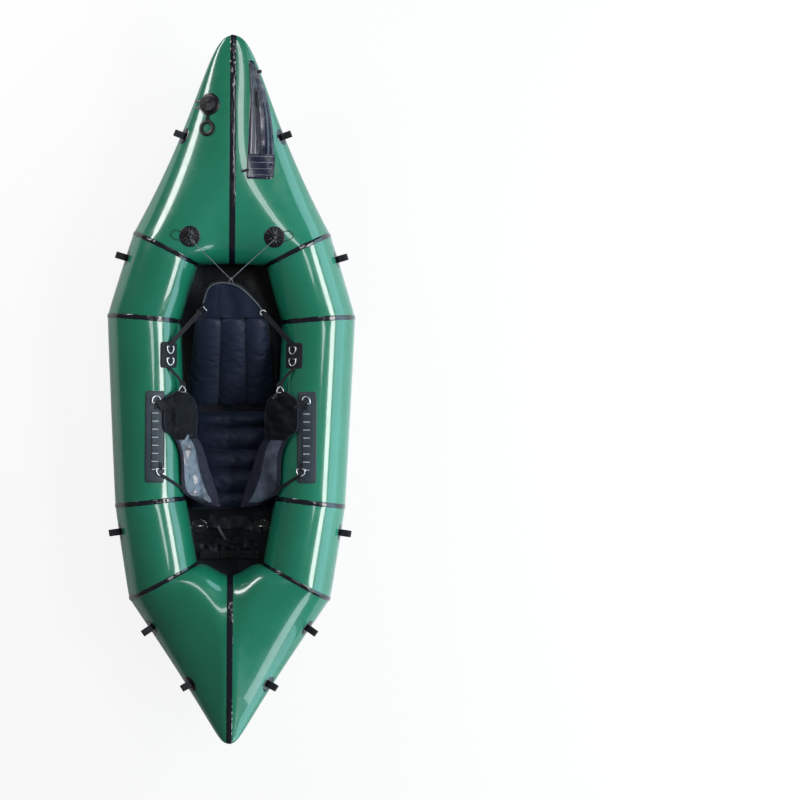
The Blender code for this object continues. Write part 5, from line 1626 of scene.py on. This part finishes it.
def make_anchors():
    """Black discs with radial pleats, a glossy knob and a thin loop each."""
    x, y = plan(ANCHOR_PLACE_SHARE)
    for word, side in SIDES.items():
        line = through([lifted(x + u, y + v, rise) for u, v, rise in ANCHOR_LOOP_POINTS], 60)
        parts = [anchor_disc(x, y), anchor_knob(skin_frame(x, y, 0.02))]
        parts.append(tube("loop", line, 0.0012, WEBBING, sides=8))
        whole = mirrored_copy(joined(f"anchor_{word}", parts), side)
        placed(whole, "raft", f"cord_anchor_{word}", slot="webbing_black")


make_back_straps()
make_cord()
make_anchors()


# Thigh straps: webbing from the patch, a padded part beside the strip, then a wide bound panel
THIGH_STRAP_SHARES = (
    ((0.728, 0.058), (0.668, 0.064), (0.925, 0.905)),
    ((0.600, 0.024), (0.535, 0.022), (0.872, 0.852)),
    ((0.610, -0.004), (0.510, -0.008), (0.885, 0.848)),
    ((0.745, -0.030), (0.420, -0.034), (0.985, 0.760)),
    ((0.758, -0.075), (0.392, -0.075), (0.990, 0.745)),
    ((0.745, -0.115), (0.395, -0.112), (0.985, 0.740)),
    ((0.655, -0.134), (0.398, -0.134), (0.920, 0.738)),
    ((0.572, -0.186), (0.330, -0.165), (0.830, 0.640)),
    ((0.560, -0.270), (0.254, -0.226), (0.800, 0.545)),
    ((0.516, -0.298), (0.170, -0.290), (0.740, 0.460)),
    ((0.300, -0.330), (0.120, -0.336), (0.480, 0.425)),
)
THIGH_ROWS = 150


def thigh_edges():
    """Fine points along the strap's outer and inner edges."""
    edges = []
    for number in (0, 1):
        points = with_ends([Vector((*plan(row[number]), row[2][number] * TOP)) for row in THIGH_STRAP_SHARES])
        spots = np.linspace(0, len(THIGH_STRAP_SHARES) - 1 - 1e-6, THIGH_ROWS)
        edges.append([curve_point(*points[int(s):int(s) + 4], s % 1.0) for s in spots])
    return edges


OUTER_EDGE, INNER_EDGE = thigh_edges()


def thigh_grid(first, last, span=(0.0, 1.0), lift=0.0, columns=18, crown=0.004, crease=0.003, seed=0.0):
    """Rows across the strap between two shares of its length and two of its width, outer edge first."""
    rows = []
    for k in range(round(first * (THIGH_ROWS - 1)), round(last * (THIGH_ROWS - 1)) + 1):
        a, b = OUTER_EDGE[k], INNER_EDGE[k]
        wide = smooth(((a - b).length - 0.03) / 0.05)
        row = []
        for t in np.linspace(*span, columns):
            p = a.lerp(b, t)
            arch = max(0.0, math.sin(math.pi * t))
            fold = wobble(*p, 22, seed) + 0.5 * wobble(*p, 47, seed + 5)
            row.append((p.x, p.y, p.z + (arch * crown + fold * crease * arch**0.5) * wide + lift))
        rows.append(row)
    return rows


def make_thigh_straps():
    for word, side in SIDES.items():
        parts = thigh_tail()
        form = {"columns": 24, "crown": 0.009, "crease": 0.011, "seed": side * 3.1}
        pad = thigh_grid(0.215, 0.625, lift=0.0010, **form)
        parts.append(softened(ribbon("pad", pad, 0.0050, PAD)))
        form = {"crown": 0.006, "crease": 0.0045, "seed": side * 1.7}
        panel = thigh_grid(0.585, 1.0, lift=-0.0004, columns=26, **form)
        # The panel's pale blue-grey clouds are painted sheen
        parts.append(softened(ribbon("panel", panel, 0.0026, FACE_PAINTED_SHEEN)))
        for span, columns in (((0.0, 0.13), 5), ((0.70, 1.0), 9)):
            border = thigh_grid(0.575, 1.0, span, lift=0.0016, columns=columns, **form)
            parts.append(ribbon("border", border, 0.0020, BOUND))
            for column in (1, -2):
                line = [(x, y, z + 0.0012) for x, y, z in (row[column] for row in border[3:-2:4])]
                parts.append(stitches("border_stitches", line, 0.0055, THREAD))
        end = thigh_grid(0.972, 1.0, lift=0.0030, columns=20, **form)
        parts.append(ribbon("end", end, 0.0018, BOUND))
        for cloth, radius in ((pad, 0.0028), (panel, 0.0022)):
            for column in (0, -1):
                line = [row[column] for row in cloth]
                parts.append(tube("binding", through(line, 90), radius, BOUND, sides=10))
        for row in (pad[0], pad[-1], panel[-1]):
            parts.append(tube("hem", row, 0.0024, BOUND, sides=10))
        parts += side_ties()
        strap = joined(f"thigh_{word}", parts)
        placed(mirrored_copy(strap, side), f"thigh_strap_{word}", f"thigh_strap_{word}", slot="webbing_black")


def thigh_tail():
    """Two narrow straps side by side from the patch's ring to the pad, the inner one stitched."""
    parts = [ribbon("tail", thigh_grid(0.0, 0.245, (0.0, 0.62), 0.0010, columns=7), 0.0020, WEBBING)]
    inner = thigh_grid(0.10, 0.285, (0.70, 1.04), 0.0035, columns=5)
    parts.append(ribbon("tail", inner, 0.0018, WEBBING))
    line = [(x, y, z + 0.0012) for x, y, z in (row[2] for row in inner[6::3])]
    parts.append(stitches("tail_stitches", line, 0.0080, PALE_THREAD, radius=0.0009))
    return parts


TIES = ((0.36, (0.835, -0.0335), (0.034, 0.018)), (0.83, (0.800, -0.2420), (0.012, 0.011)))


def side_ties():
    """Short webbing ties from the strap to the strip's two rings, and a steel triangle on the tail."""
    parts = []
    for place, share, widths in TIES:
        start = OUTER_EDGE[round(place * (THIGH_ROWS - 1))] + Vector((-0.004, 0, 0.001))
        foot, normal = drop(*plan(share))
        end = foot + normal * 0.0092
        middle = start.lerp(end, 0.5)
        middle.z = max(middle.z, drop(*middle.xy)[0].z + 0.0045)
        line = through([start, middle, end], 24)
        facing = [Vector((0, 0, 1)).lerp(normal, t) for t in np.linspace(0, 1, 24)]
        parts.append(ribbon("tie", strap_grid(line, np.linspace(*widths, 24), 7, facing), 0.0017, WEBBING))
    middle = (OUTER_EDGE[26] + INNER_EDGE[26]) / 2 + Vector((0, 0, 0.0052))
    corners = [middle + Vector((x, y, 0)) for x, y in ((0.0, 0.010), (0.013, -0.011), (-0.013, -0.011))]
    line = through(corners, 40, closed=True)
    parts.append(tube("triangle", line, 0.0018, STEEL, sides=10, closed=True))
    return parts


make_thigh_straps()


# Foot well: two standing rings, the strap between them and the loose webbing
FLOOR_RING_SHARE = (0.365, -0.393)
FLOOR_RING_HEIGHT = 0.0267


def make_floor_rings():
    x, y = plan(FLOOR_RING_SHARE)
    for word, side in SIDES.items():
        frame = Matrix.Translation((x, y, FLOOR_RING_HEIGHT))
        standing = frame @ Matrix.Rotation(math.pi / 2, 4, "X")
        d_ring(f"floor_ring_{word}", standing, side)
        parts = lug(frame, reach=0.026, drop_by=FLOOR_RING_HEIGHT - FLOOR_TOP)
        grid = []
        for share in (0.05, 0.4, 0.75, 0.95, 1.0):
            level = FLOOR_TOP + (0.0012 if share < 0.97 else -0.0005)
            grid.append([(x + 0.036 * share * math.cos(t), y + 0.028 * share * math.sin(t), level)
                         for t in turns_of(36)])
        parts.append(face_up(grid_object("base", grid, TAPE, wrap=True)))
        base = mirrored_copy(joined(f"floor_ring_base_{word}", parts), side)
        placed(base, "raft", slot="webbing_black")


def loose_strap(name, points, width, material, seed, waves=0.0, thickness=0.0016, count=60):
    """A strap that lies loosely on the floor, twisted a little along its length."""
    line = through([(x, y, FLOOR_TOP + z) for x, y, z in points], count)
    facing = [(wobble(k * 0.09, seed, 0, 1, 2) * 0.7, wobble(k * 0.09, seed, 3, 1, 5) * 0.7, 1)
              for k in range(count)]
    line[:, 2] += np.abs(np.sin(np.linspace(0, waves * math.pi, count))) * 0.006
    return ribbon(name, strap_grid(line, width, 9, facing), thickness, material)


def make_foot_strap():
    low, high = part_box("foot_strap")
    middle = (low[1] + high[1]) / 2
    rows = []
    for t in np.linspace(0, 1, 70):
        x = mix(low[0], high[0], t)
        z = low[2] + 0.009 * math.sin(math.pi * t) + 0.0012 * wobble(x, 0, 0, 40, 2)
        rows.append([(x, middle + w + 0.006 * math.sin(t * 2.6), z + 0.001 * math.sin(w * 200))
                     for w in np.linspace(-0.013, 0.013, 9)])
    parts = [ribbon("foot_web", rows, 0.0018, WEBBING)]
    for t in (0.06, 0.3, 0.56, 0.94):
        line = [(x, y, z + 0.0012) for x, y, z in rows[round(t * 69)]]
        parts.append(tube("tack", line, 0.0011, THREAD, sides=8))
    for x in (-0.030, 0.028):
        tab = [(x, middle - 0.010, 0.011), (x, middle + 0.010, 0.0115), (x + 0.002, middle + 0.034, 0.004)]
        tab = [(a, b, c - FLOOR_TOP + low[2]) for a, b, c in tab]
        parts.append(loose_strap("tab", tab, 0.013, WEBBING, x * 9, count=20))
    placed(joined("foot_strap_web", parts), "raft", "foot_strap", slot="webbing_black")


# The loose webbing: points over the floor, width, look, seed and waves, then thickness and point count
FOLDS = {
    "pale": (
        ((-0.047, -0.522, 0.020), (-0.036, -0.545, 0.026), (-0.020, -0.572, 0.020), (-0.006, -0.592, 0.012)),
        0.011, PALE_WEBBING, 1.0, 0.0, 0.0022, 30,
    ),
    "fold_one": (
        ((-0.085, -0.500, 0.004), (-0.030, -0.512, 0.016), (0.030, -0.505, 0.014), (0.090, -0.520, 0.004)),
        0.046, STRIP_DARK, 2.0, 1.0,
    ),
    "fold_two": (
        ((-0.060, -0.575, 0.004), (-0.010, -0.590, 0.015), (0.030, -0.575, 0.017), (0.058, -0.600, 0.008),
         (0.030, -0.620, 0.004)), 0.022, WEBBING, 3.0, 3.0,
    ),
    "fold_three": (
        ((-0.030, -0.560, 0.010), (0.004, -0.600, 0.018), (0.020, -0.626, 0.008)), 0.020, WEBBING, 4.0, 2.0,
    ),
    "flap": (
        ((0.046, -0.586, 0.012), (0.070, -0.592, 0.016), (0.100, -0.584, 0.008)), 0.034, STRIP_DARK, 5.0, 1.0,
    ),
    "grey": (
        ((-0.126, -0.612, 0.003), (-0.084, -0.618, 0.010), (-0.046, -0.606, 0.006)),
        0.046, STRIP_DARK, 6.0, 0.6,
    ),
}


def make_bundle():
    parts = [loose_strap(name, *values) for name, values in FOLDS.items()]
    placed(joined("foot_bundle", parts), "raft", slot="webbing_black")


make_floor_rings()
make_foot_strap()
make_bundle()


# Inflation valve
VALVE_PLACE_SHARE = (-0.593, 0.805)
KEEPER_PLACE_SHARE = (-0.517, 0.737)
FLANGE_RADIUS = 0.038
FLANGE = 0.0035
COLLAR_RADIUS = 0.0220
COLLAR_HEIGHT = 0.0075
CAP_RADIUS = 0.0300
CAP_UNDER = FLANGE + COLLAR_HEIGHT + 0.0003
CAP_CREST = CAP_UNDER + 0.0030
RIDGE = 0.0010
POPPET_RADIUS = 0.0114
APRON = 0.0425


def stern_edge(y):
    """The hull's half width at a distance along the stern, seen from above."""
    side = np.zeros(1)
    share = last_true(lambda s: end_points("stern", side, s)[0, 1] < y, 0.0, 1.0)
    return end_points("stern", side, share)[0, 0]


def stern_plan(place):
    y = place[1] * HALF_LENGTH
    return place[0] * stern_edge(y), y


def turned(name, profile, frame, material, steps=96, ripple=None):
    """A turned piece from its side view, given down its outer side from the axis."""
    grid = []
    for r, z in profile:
        row = []
        for t in turns_of(steps):
            radius = r + (ripple(t) if ripple and r > CAP_RADIUS * 0.9 else 0.0)
            row.append(frame @ Vector((radius * math.cos(t), radius * math.sin(t), z)))
        grid.append(row)
    return outward(grid_object(name, grid, material, wrap=True))


FLANGE_PROFILE = (
    (COLLAR_RADIUS - 0.002, CAP_UNDER - 0.0005), (COLLAR_RADIUS, CAP_UNDER - 0.0012),
    (COLLAR_RADIUS, FLANGE + 0.0012), (COLLAR_RADIUS + 0.0012, FLANGE), (0.0335, FLANGE),
    (0.0355, FLANGE - 0.0004), (0.0372, FLANGE - 0.0012), (FLANGE_RADIUS, FLANGE - 0.0026),
    (FLANGE_RADIUS + 0.0008, -0.0010), (FLANGE_RADIUS + 0.001, -0.006),
)
BORE_PROFILE = (
    (COLLAR_RADIUS - 0.002, CAP_UNDER - 0.0005), (0.0128, CAP_UNDER - 0.0005),
    (0.0120, CAP_UNDER - 0.0013), (0.0120, -0.020),
)
CAP_RIDGES = [
    (share * CAP_RADIUS + w * RIDGE, CAP_CREST + RIDGE * h)
    for share in (0.25, 0.45, 0.65, 0.85)
    for w, h in ((-1.3, 0), (-0.7, 0.5), (0, 1.0), (0.7, 0.5), (1.3, 0))
]
CAP_PROFILE = [
    (0.0002, CAP_CREST), *CAP_RIDGES,
    (CAP_RADIUS - 0.0016, CAP_CREST), (CAP_RADIUS - 0.0005, CAP_CREST - 0.0005),
    (CAP_RADIUS, CAP_CREST - 0.0016), (CAP_RADIUS, FLANGE + 0.0008), (CAP_RADIUS - 0.0006, FLANGE + 0.0003),
    (COLLAR_RADIUS + 0.0008, FLANGE + 0.0003), (COLLAR_RADIUS + 0.0008, CAP_UNDER), (0.0002, CAP_UNDER),
]
DISC_TOP = CAP_UNDER - 0.0048
DISC_PROFILE = (
    (0.0002, DISC_TOP), (POPPET_RADIUS - 0.0008, DISC_TOP), (POPPET_RADIUS, DISC_TOP - 0.0008),
    (POPPET_RADIUS, DISC_TOP - 0.0030), (0.0030, DISC_TOP - 0.0030), (0.0030, DISC_TOP - 0.017),
    (0.0002, DISC_TOP - 0.018),
)
KEEPER_PROFILE = (
    (0.0165, 0.0042), (0.0180, 0.0048), (0.0290, 0.0048), (0.0305, 0.0042), (0.0310, 0.0027),
    (0.0305, 0.0014), (0.0180, 0.0012), (0.0165, 0.0018), (0.0160, 0.0030), (0.0165, 0.0042),
)


def cap_grip(turn):
    """The grip ribs round the cap."""
    wave = math.sin(turn * 24)
    return 0.0004 * math.copysign(abs(wave) ** 0.6, wave)


def make_valve():
    frame = skin_frame(*stern_plan(VALVE_PLACE_SHARE), FLANGE_RADIUS)
    out = frame.col[2].xyz
    parts = [turned("flange", FLANGE_PROFILE, frame, PLASTIC), turned("bore", BORE_PROFILE, frame, PLASTIC)]
    apron = []
    for share in (0.85, 0.90, 0.94, 0.98, 1.0):
        reach = APRON * share
        level = 0.0012 if share < 0.99 else -0.0004
        spots = [frame @ Vector((reach * math.cos(t), reach * math.sin(t), 0.03)) for t in turns_of(72)]
        apron.append([SKIN.ray_cast(spot, -out)[0] + out * level for spot in spots])
    parts.append(face_up(grid_object("apron", apron, TAPE, wrap=True)))
    placed(joined("valve_body", parts), "raft", "valve_base", slot="valve_black")
    cap = turned("cap", CAP_PROFILE, frame, PLASTIC, 144, cap_grip)
    placed(cap, "valve_cap", "valve_cap", slot="valve_black")
    disc = turned("inner_disc", DISC_PROFILE, frame, PLASTIC, 48)
    placed(disc, "valve_poppet", "valve_poppet", slot="valve_black")
    make_keeper(frame)
    make_clips(frame)


def make_keeper(valve):
    """The flat ring that keeps the cap, on its tether from the valve's flange."""
    frame = skin_frame(*stern_plan(KEEPER_PLACE_SHARE), 0.031)
    parts = [turned("ring", KEEPER_PROFILE, frame, PLASTIC, 72)]
    way = (frame.translation - valve.translation).normalized()
    start = valve.translation + way * (FLANGE_RADIUS - 0.003)
    stop = frame.translation - way * 0.027
    shares = np.linspace(0, 1, 20)
    line = [lifted(*start.lerp(stop, t).xy, 0.0036 + 0.0024 * (1 - t) ** 2) for t in shares]
    width = 0.020 - 0.009 * np.sin(math.pi * shares)
    parts.append(ribbon("tether", strap_grid(line, width, 7, frame.col[2].xyz), 0.0026, PLASTIC))
    placed(joined("cap_keeper", parts), "valve_keeper", "valve_keeper", slot="valve_black")


def make_clips(valve):
    """Two small tabs beside the valve's flange."""
    tabs = []
    for v in (-0.012, 0.012):
        point, normal = drop(*(valve @ Vector((-0.044, v, 0.003))).xy)
        line = [point + normal * 0.002 + valve.col[0].xyz * s for s in np.linspace(-0.010, 0.012, 8)]
        tabs.append(ribbon("clip", strap_grid(line, 0.010, 6, normal), 0.0030, PLASTIC))
    placed(joined("valve_clips", tabs), "raft", slot="valve_black")


make_valve()


# Cargo zip: a glossy flap with raised ridges, a stitched cross flap, chain, slider and pull
ZIP_TRACK_SHARES = ((0.665, 0.850), (0.424, 0.632))
ZIP_EDGE_SHARES = (
    (0.66, 0.90, 0.930),
    (0.53, 0.93, 0.876),
    (0.455, 0.92, 0.828),
    (0.345, 0.84, 0.760),
    (0.242, 0.68, 0.664),
    (0.19, 0.553, 0.593),
)
ZIP_HEIGHT = 0.0022
CHAIN_WIDTH = 0.009
CHAIN_POINTS = 70
TEETH = 130
RIDGE_SHARES = (0.09, 0.24, 0.39, 0.74, 0.90)
ZIP_LINE = through(ZIP_EDGE_SHARES, 60)


def zip_edges(along):
    """The flap's inner and outer edge in metres across the boat, at a share of its length."""
    inner, outer, place = ZIP_LINE[round(along * 59)]
    y = place * HALF_LENGTH
    edge = stern_edge(y)
    return inner * edge, outer * edge, y


def flap_level(along, rim, share, x, y):
    """The flap's height over the skin, with its raised ridges."""
    end = min(along, 1 - along) * 0.45
    level = ZIP_HEIGHT * smooth(min(rim, end) / 0.0025) * 1.25 - 0.0004
    ridges = sum(math.exp(-(((share - place) / 0.040) ** 2)) for place in RIDGE_SHARES)
    return level + 0.0019 * ridges * smooth(end / 0.02) + 0.0004 * wobble(x, y, 0, 38, 6)


def zip_sheet():
    grid = []
    for s in np.linspace(0, 1, 60):
        inner, outer, y = zip_edges(s)
        row = []
        for t in np.linspace(0, 1, 30):
            x = mix(inner, outer, t)
            row.append(lifted(x, y, flap_level(s, min(t, 1 - t) * (outer - inner), t, x, y)))
        grid.append(row)
    return face_up(grid_object("flap", grid, ZIP))


def zip_teeth(line, across, normal):
    points, way = np.array(line), np.arange(CHAIN_POINTS)
    teeth = []
    for number, t in enumerate(np.linspace(0.0, 1.0, TEETH)):
        place = Vector(points_at(points, way, [t * (CHAIN_POINTS - 1)])[0])
        lean = 0.0011 if number % 2 else -0.0011
        ends = [place + across * (lean + w) + normal * (0.0012 + 0.0004 * (1 - abs(w) / 0.003))
                for w in (-0.003, 0, 0.003)]
        teeth.append(tube("tooth", ends, 0.00085, PLASTIC, sides=6))
    return joined("teeth", teeth)


def make_zip():
    start, stop = (Vector((*stern_plan(p), 0)) for p in ZIP_TRACK_SHARES)
    line = [lifted(*start.lerp(stop, t).xy, ZIP_HEIGHT + 0.0008)
            for t in np.linspace(-0.01, 1.01, CHAIN_POINTS)]
    way = (line[-1] - line[0]).normalized()
    normal = drop(*start.lerp(stop, 0.5).xy)[1]
    across = way.cross(normal).normalized()
    parts = [zip_sheet(), ribbon("bed", strap_grid(line, CHAIN_WIDTH * 2.2, 7, normal), 0.0012, ZIP)]
    parts.append(zip_teeth(line, across, normal))
    for w in (-0.0072, 0.0072):
        welt = [p + across * w + normal * 0.0012 for p in line[::3]]
        parts.append(tube("welt", welt, 0.0021, ZIP, sides=10))
    parts += cross_flap()
    placed(joined("cargo_zip", parts), "raft", "zip_flap", slot="zip_navy")
    make_slider(line, way, across, normal)


def crossing_row(along, shares, height):
    """Points across the cross flap, over a share of the zip flap's length."""
    inner, outer, y = zip_edges(along)
    return [lifted(mix(inner, outer, t), y, ZIP_HEIGHT + height + 0.0012 * math.sin(math.pi * t))
            for t in shares]


def cross_flap():
    """The stitched flap over the zip's fore end, and small tabs beside it."""
    grid = [crossing_row(s, np.linspace(0.03, 1.02, 24), 0.0030) for s in np.linspace(0.80, 0.985, 16)]
    parts = [ribbon("cross", grid, 0.0016, ZIP)]
    for s in (0.815, 0.865, 0.915, 0.965):
        line = crossing_row(s, np.linspace(0.07, 0.97, 12), 0.0043)
        parts.append(stitches("cross_stitches", line, 0.0060, PALE_THREAD, radius=0.0009))
    for s, t, width in ((0.115, 0.86, 0.012), (0.93, -0.06, 0.010)):
        inner, outer, y = zip_edges(s)
        point, normal = drop(mix(inner, outer, t), y)
        line = [point + normal * (ZIP_HEIGHT + 0.0035) + Vector((w, 0.003 * math.sin(w * 90), 0))
                for w in np.linspace(-0.013, 0.013, 9)]
        parts.append(ribbon("tab", strap_grid(line, width, 6, normal), 0.0020, WEBBING))
    return parts


BRIDGE_POINTS = (
    (0, -0.0085, 0.0048), (0, -0.006, 0.0078), (0, 0.0, 0.0084), (0, 0.006, 0.0078), (0, 0.0085, 0.0048),
)
PULL_POINTS = (
    (0, 0.0145, 0.0052), (0.0004, 0.024, 0.0042), (0.0008, 0.034, 0.0040), (0.0010, 0.0445, 0.0040),
)


def squared(value):
    """A sine or cosine swelled towards a square's corner."""
    return math.copysign(abs(value) ** 0.6, value)


def slider_body(frame):
    rows = []
    for s in np.linspace(-1, 1, 14):
        half = mix(0.0072, 0.0058, (s + 1) / 2) * (1 - max(0, abs(s) - 0.8) * 1.2)
        thick = 0.0031 * (1 - 0.35 * abs(s) ** 3)
        rows.append([
            frame @ Vector((half * squared(math.cos(t)), s * 0.0115, 0.0022 + thick * squared(math.sin(t))))
            for t in turns_of(20)
        ])
    made = grid_object("slider", rows, PLASTIC, wrap=True)
    cap_ends(made, len(rows), 20)
    return outward(made)


def make_slider(line, way, across, normal):
    low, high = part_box("zip_slider")
    middle = (Vector(low) + Vector(high)) / 2
    nearest = min(line, key=lambda p: (p.xy - middle.xy).length)
    frame = Matrix((across, way, normal)).transposed().to_4x4()
    frame.translation = nearest + normal * 0.0018
    bridge = through([frame @ Vector(p) for p in BRIDGE_POINTS], 24)
    pull = through([frame @ Vector(p) for p in PULL_POINTS], 24)
    link = [frame @ Vector((0.0035 * math.cos(t), 0.010 + 0.006 * math.sin(t), 0.0066 - 0.0012 * math.sin(t)))
            for t in turns_of(30)]
    parts = [
        slider_body(frame),
        tube("bridge", bridge, 0.0013, PLASTIC, sides=10),
        tube("link", link, 0.0010, PLASTIC, sides=8, closed=True),
        ribbon("pull", strap_grid(pull, 0.0088, 7, normal), 0.0026, WEBBING),
    ]
    for y in (0.020, 0.040):
        ends = [frame @ Vector((x, y, 0.0060)) for x in np.linspace(-0.0036, 0.0036, 5)]
        parts.append(tube("tack", ends, 0.0008, THREAD, sides=6))
    placed(joined("zip_runner", parts), "zip_slider", "zip_slider", slot="ring_steel")


make_zip()
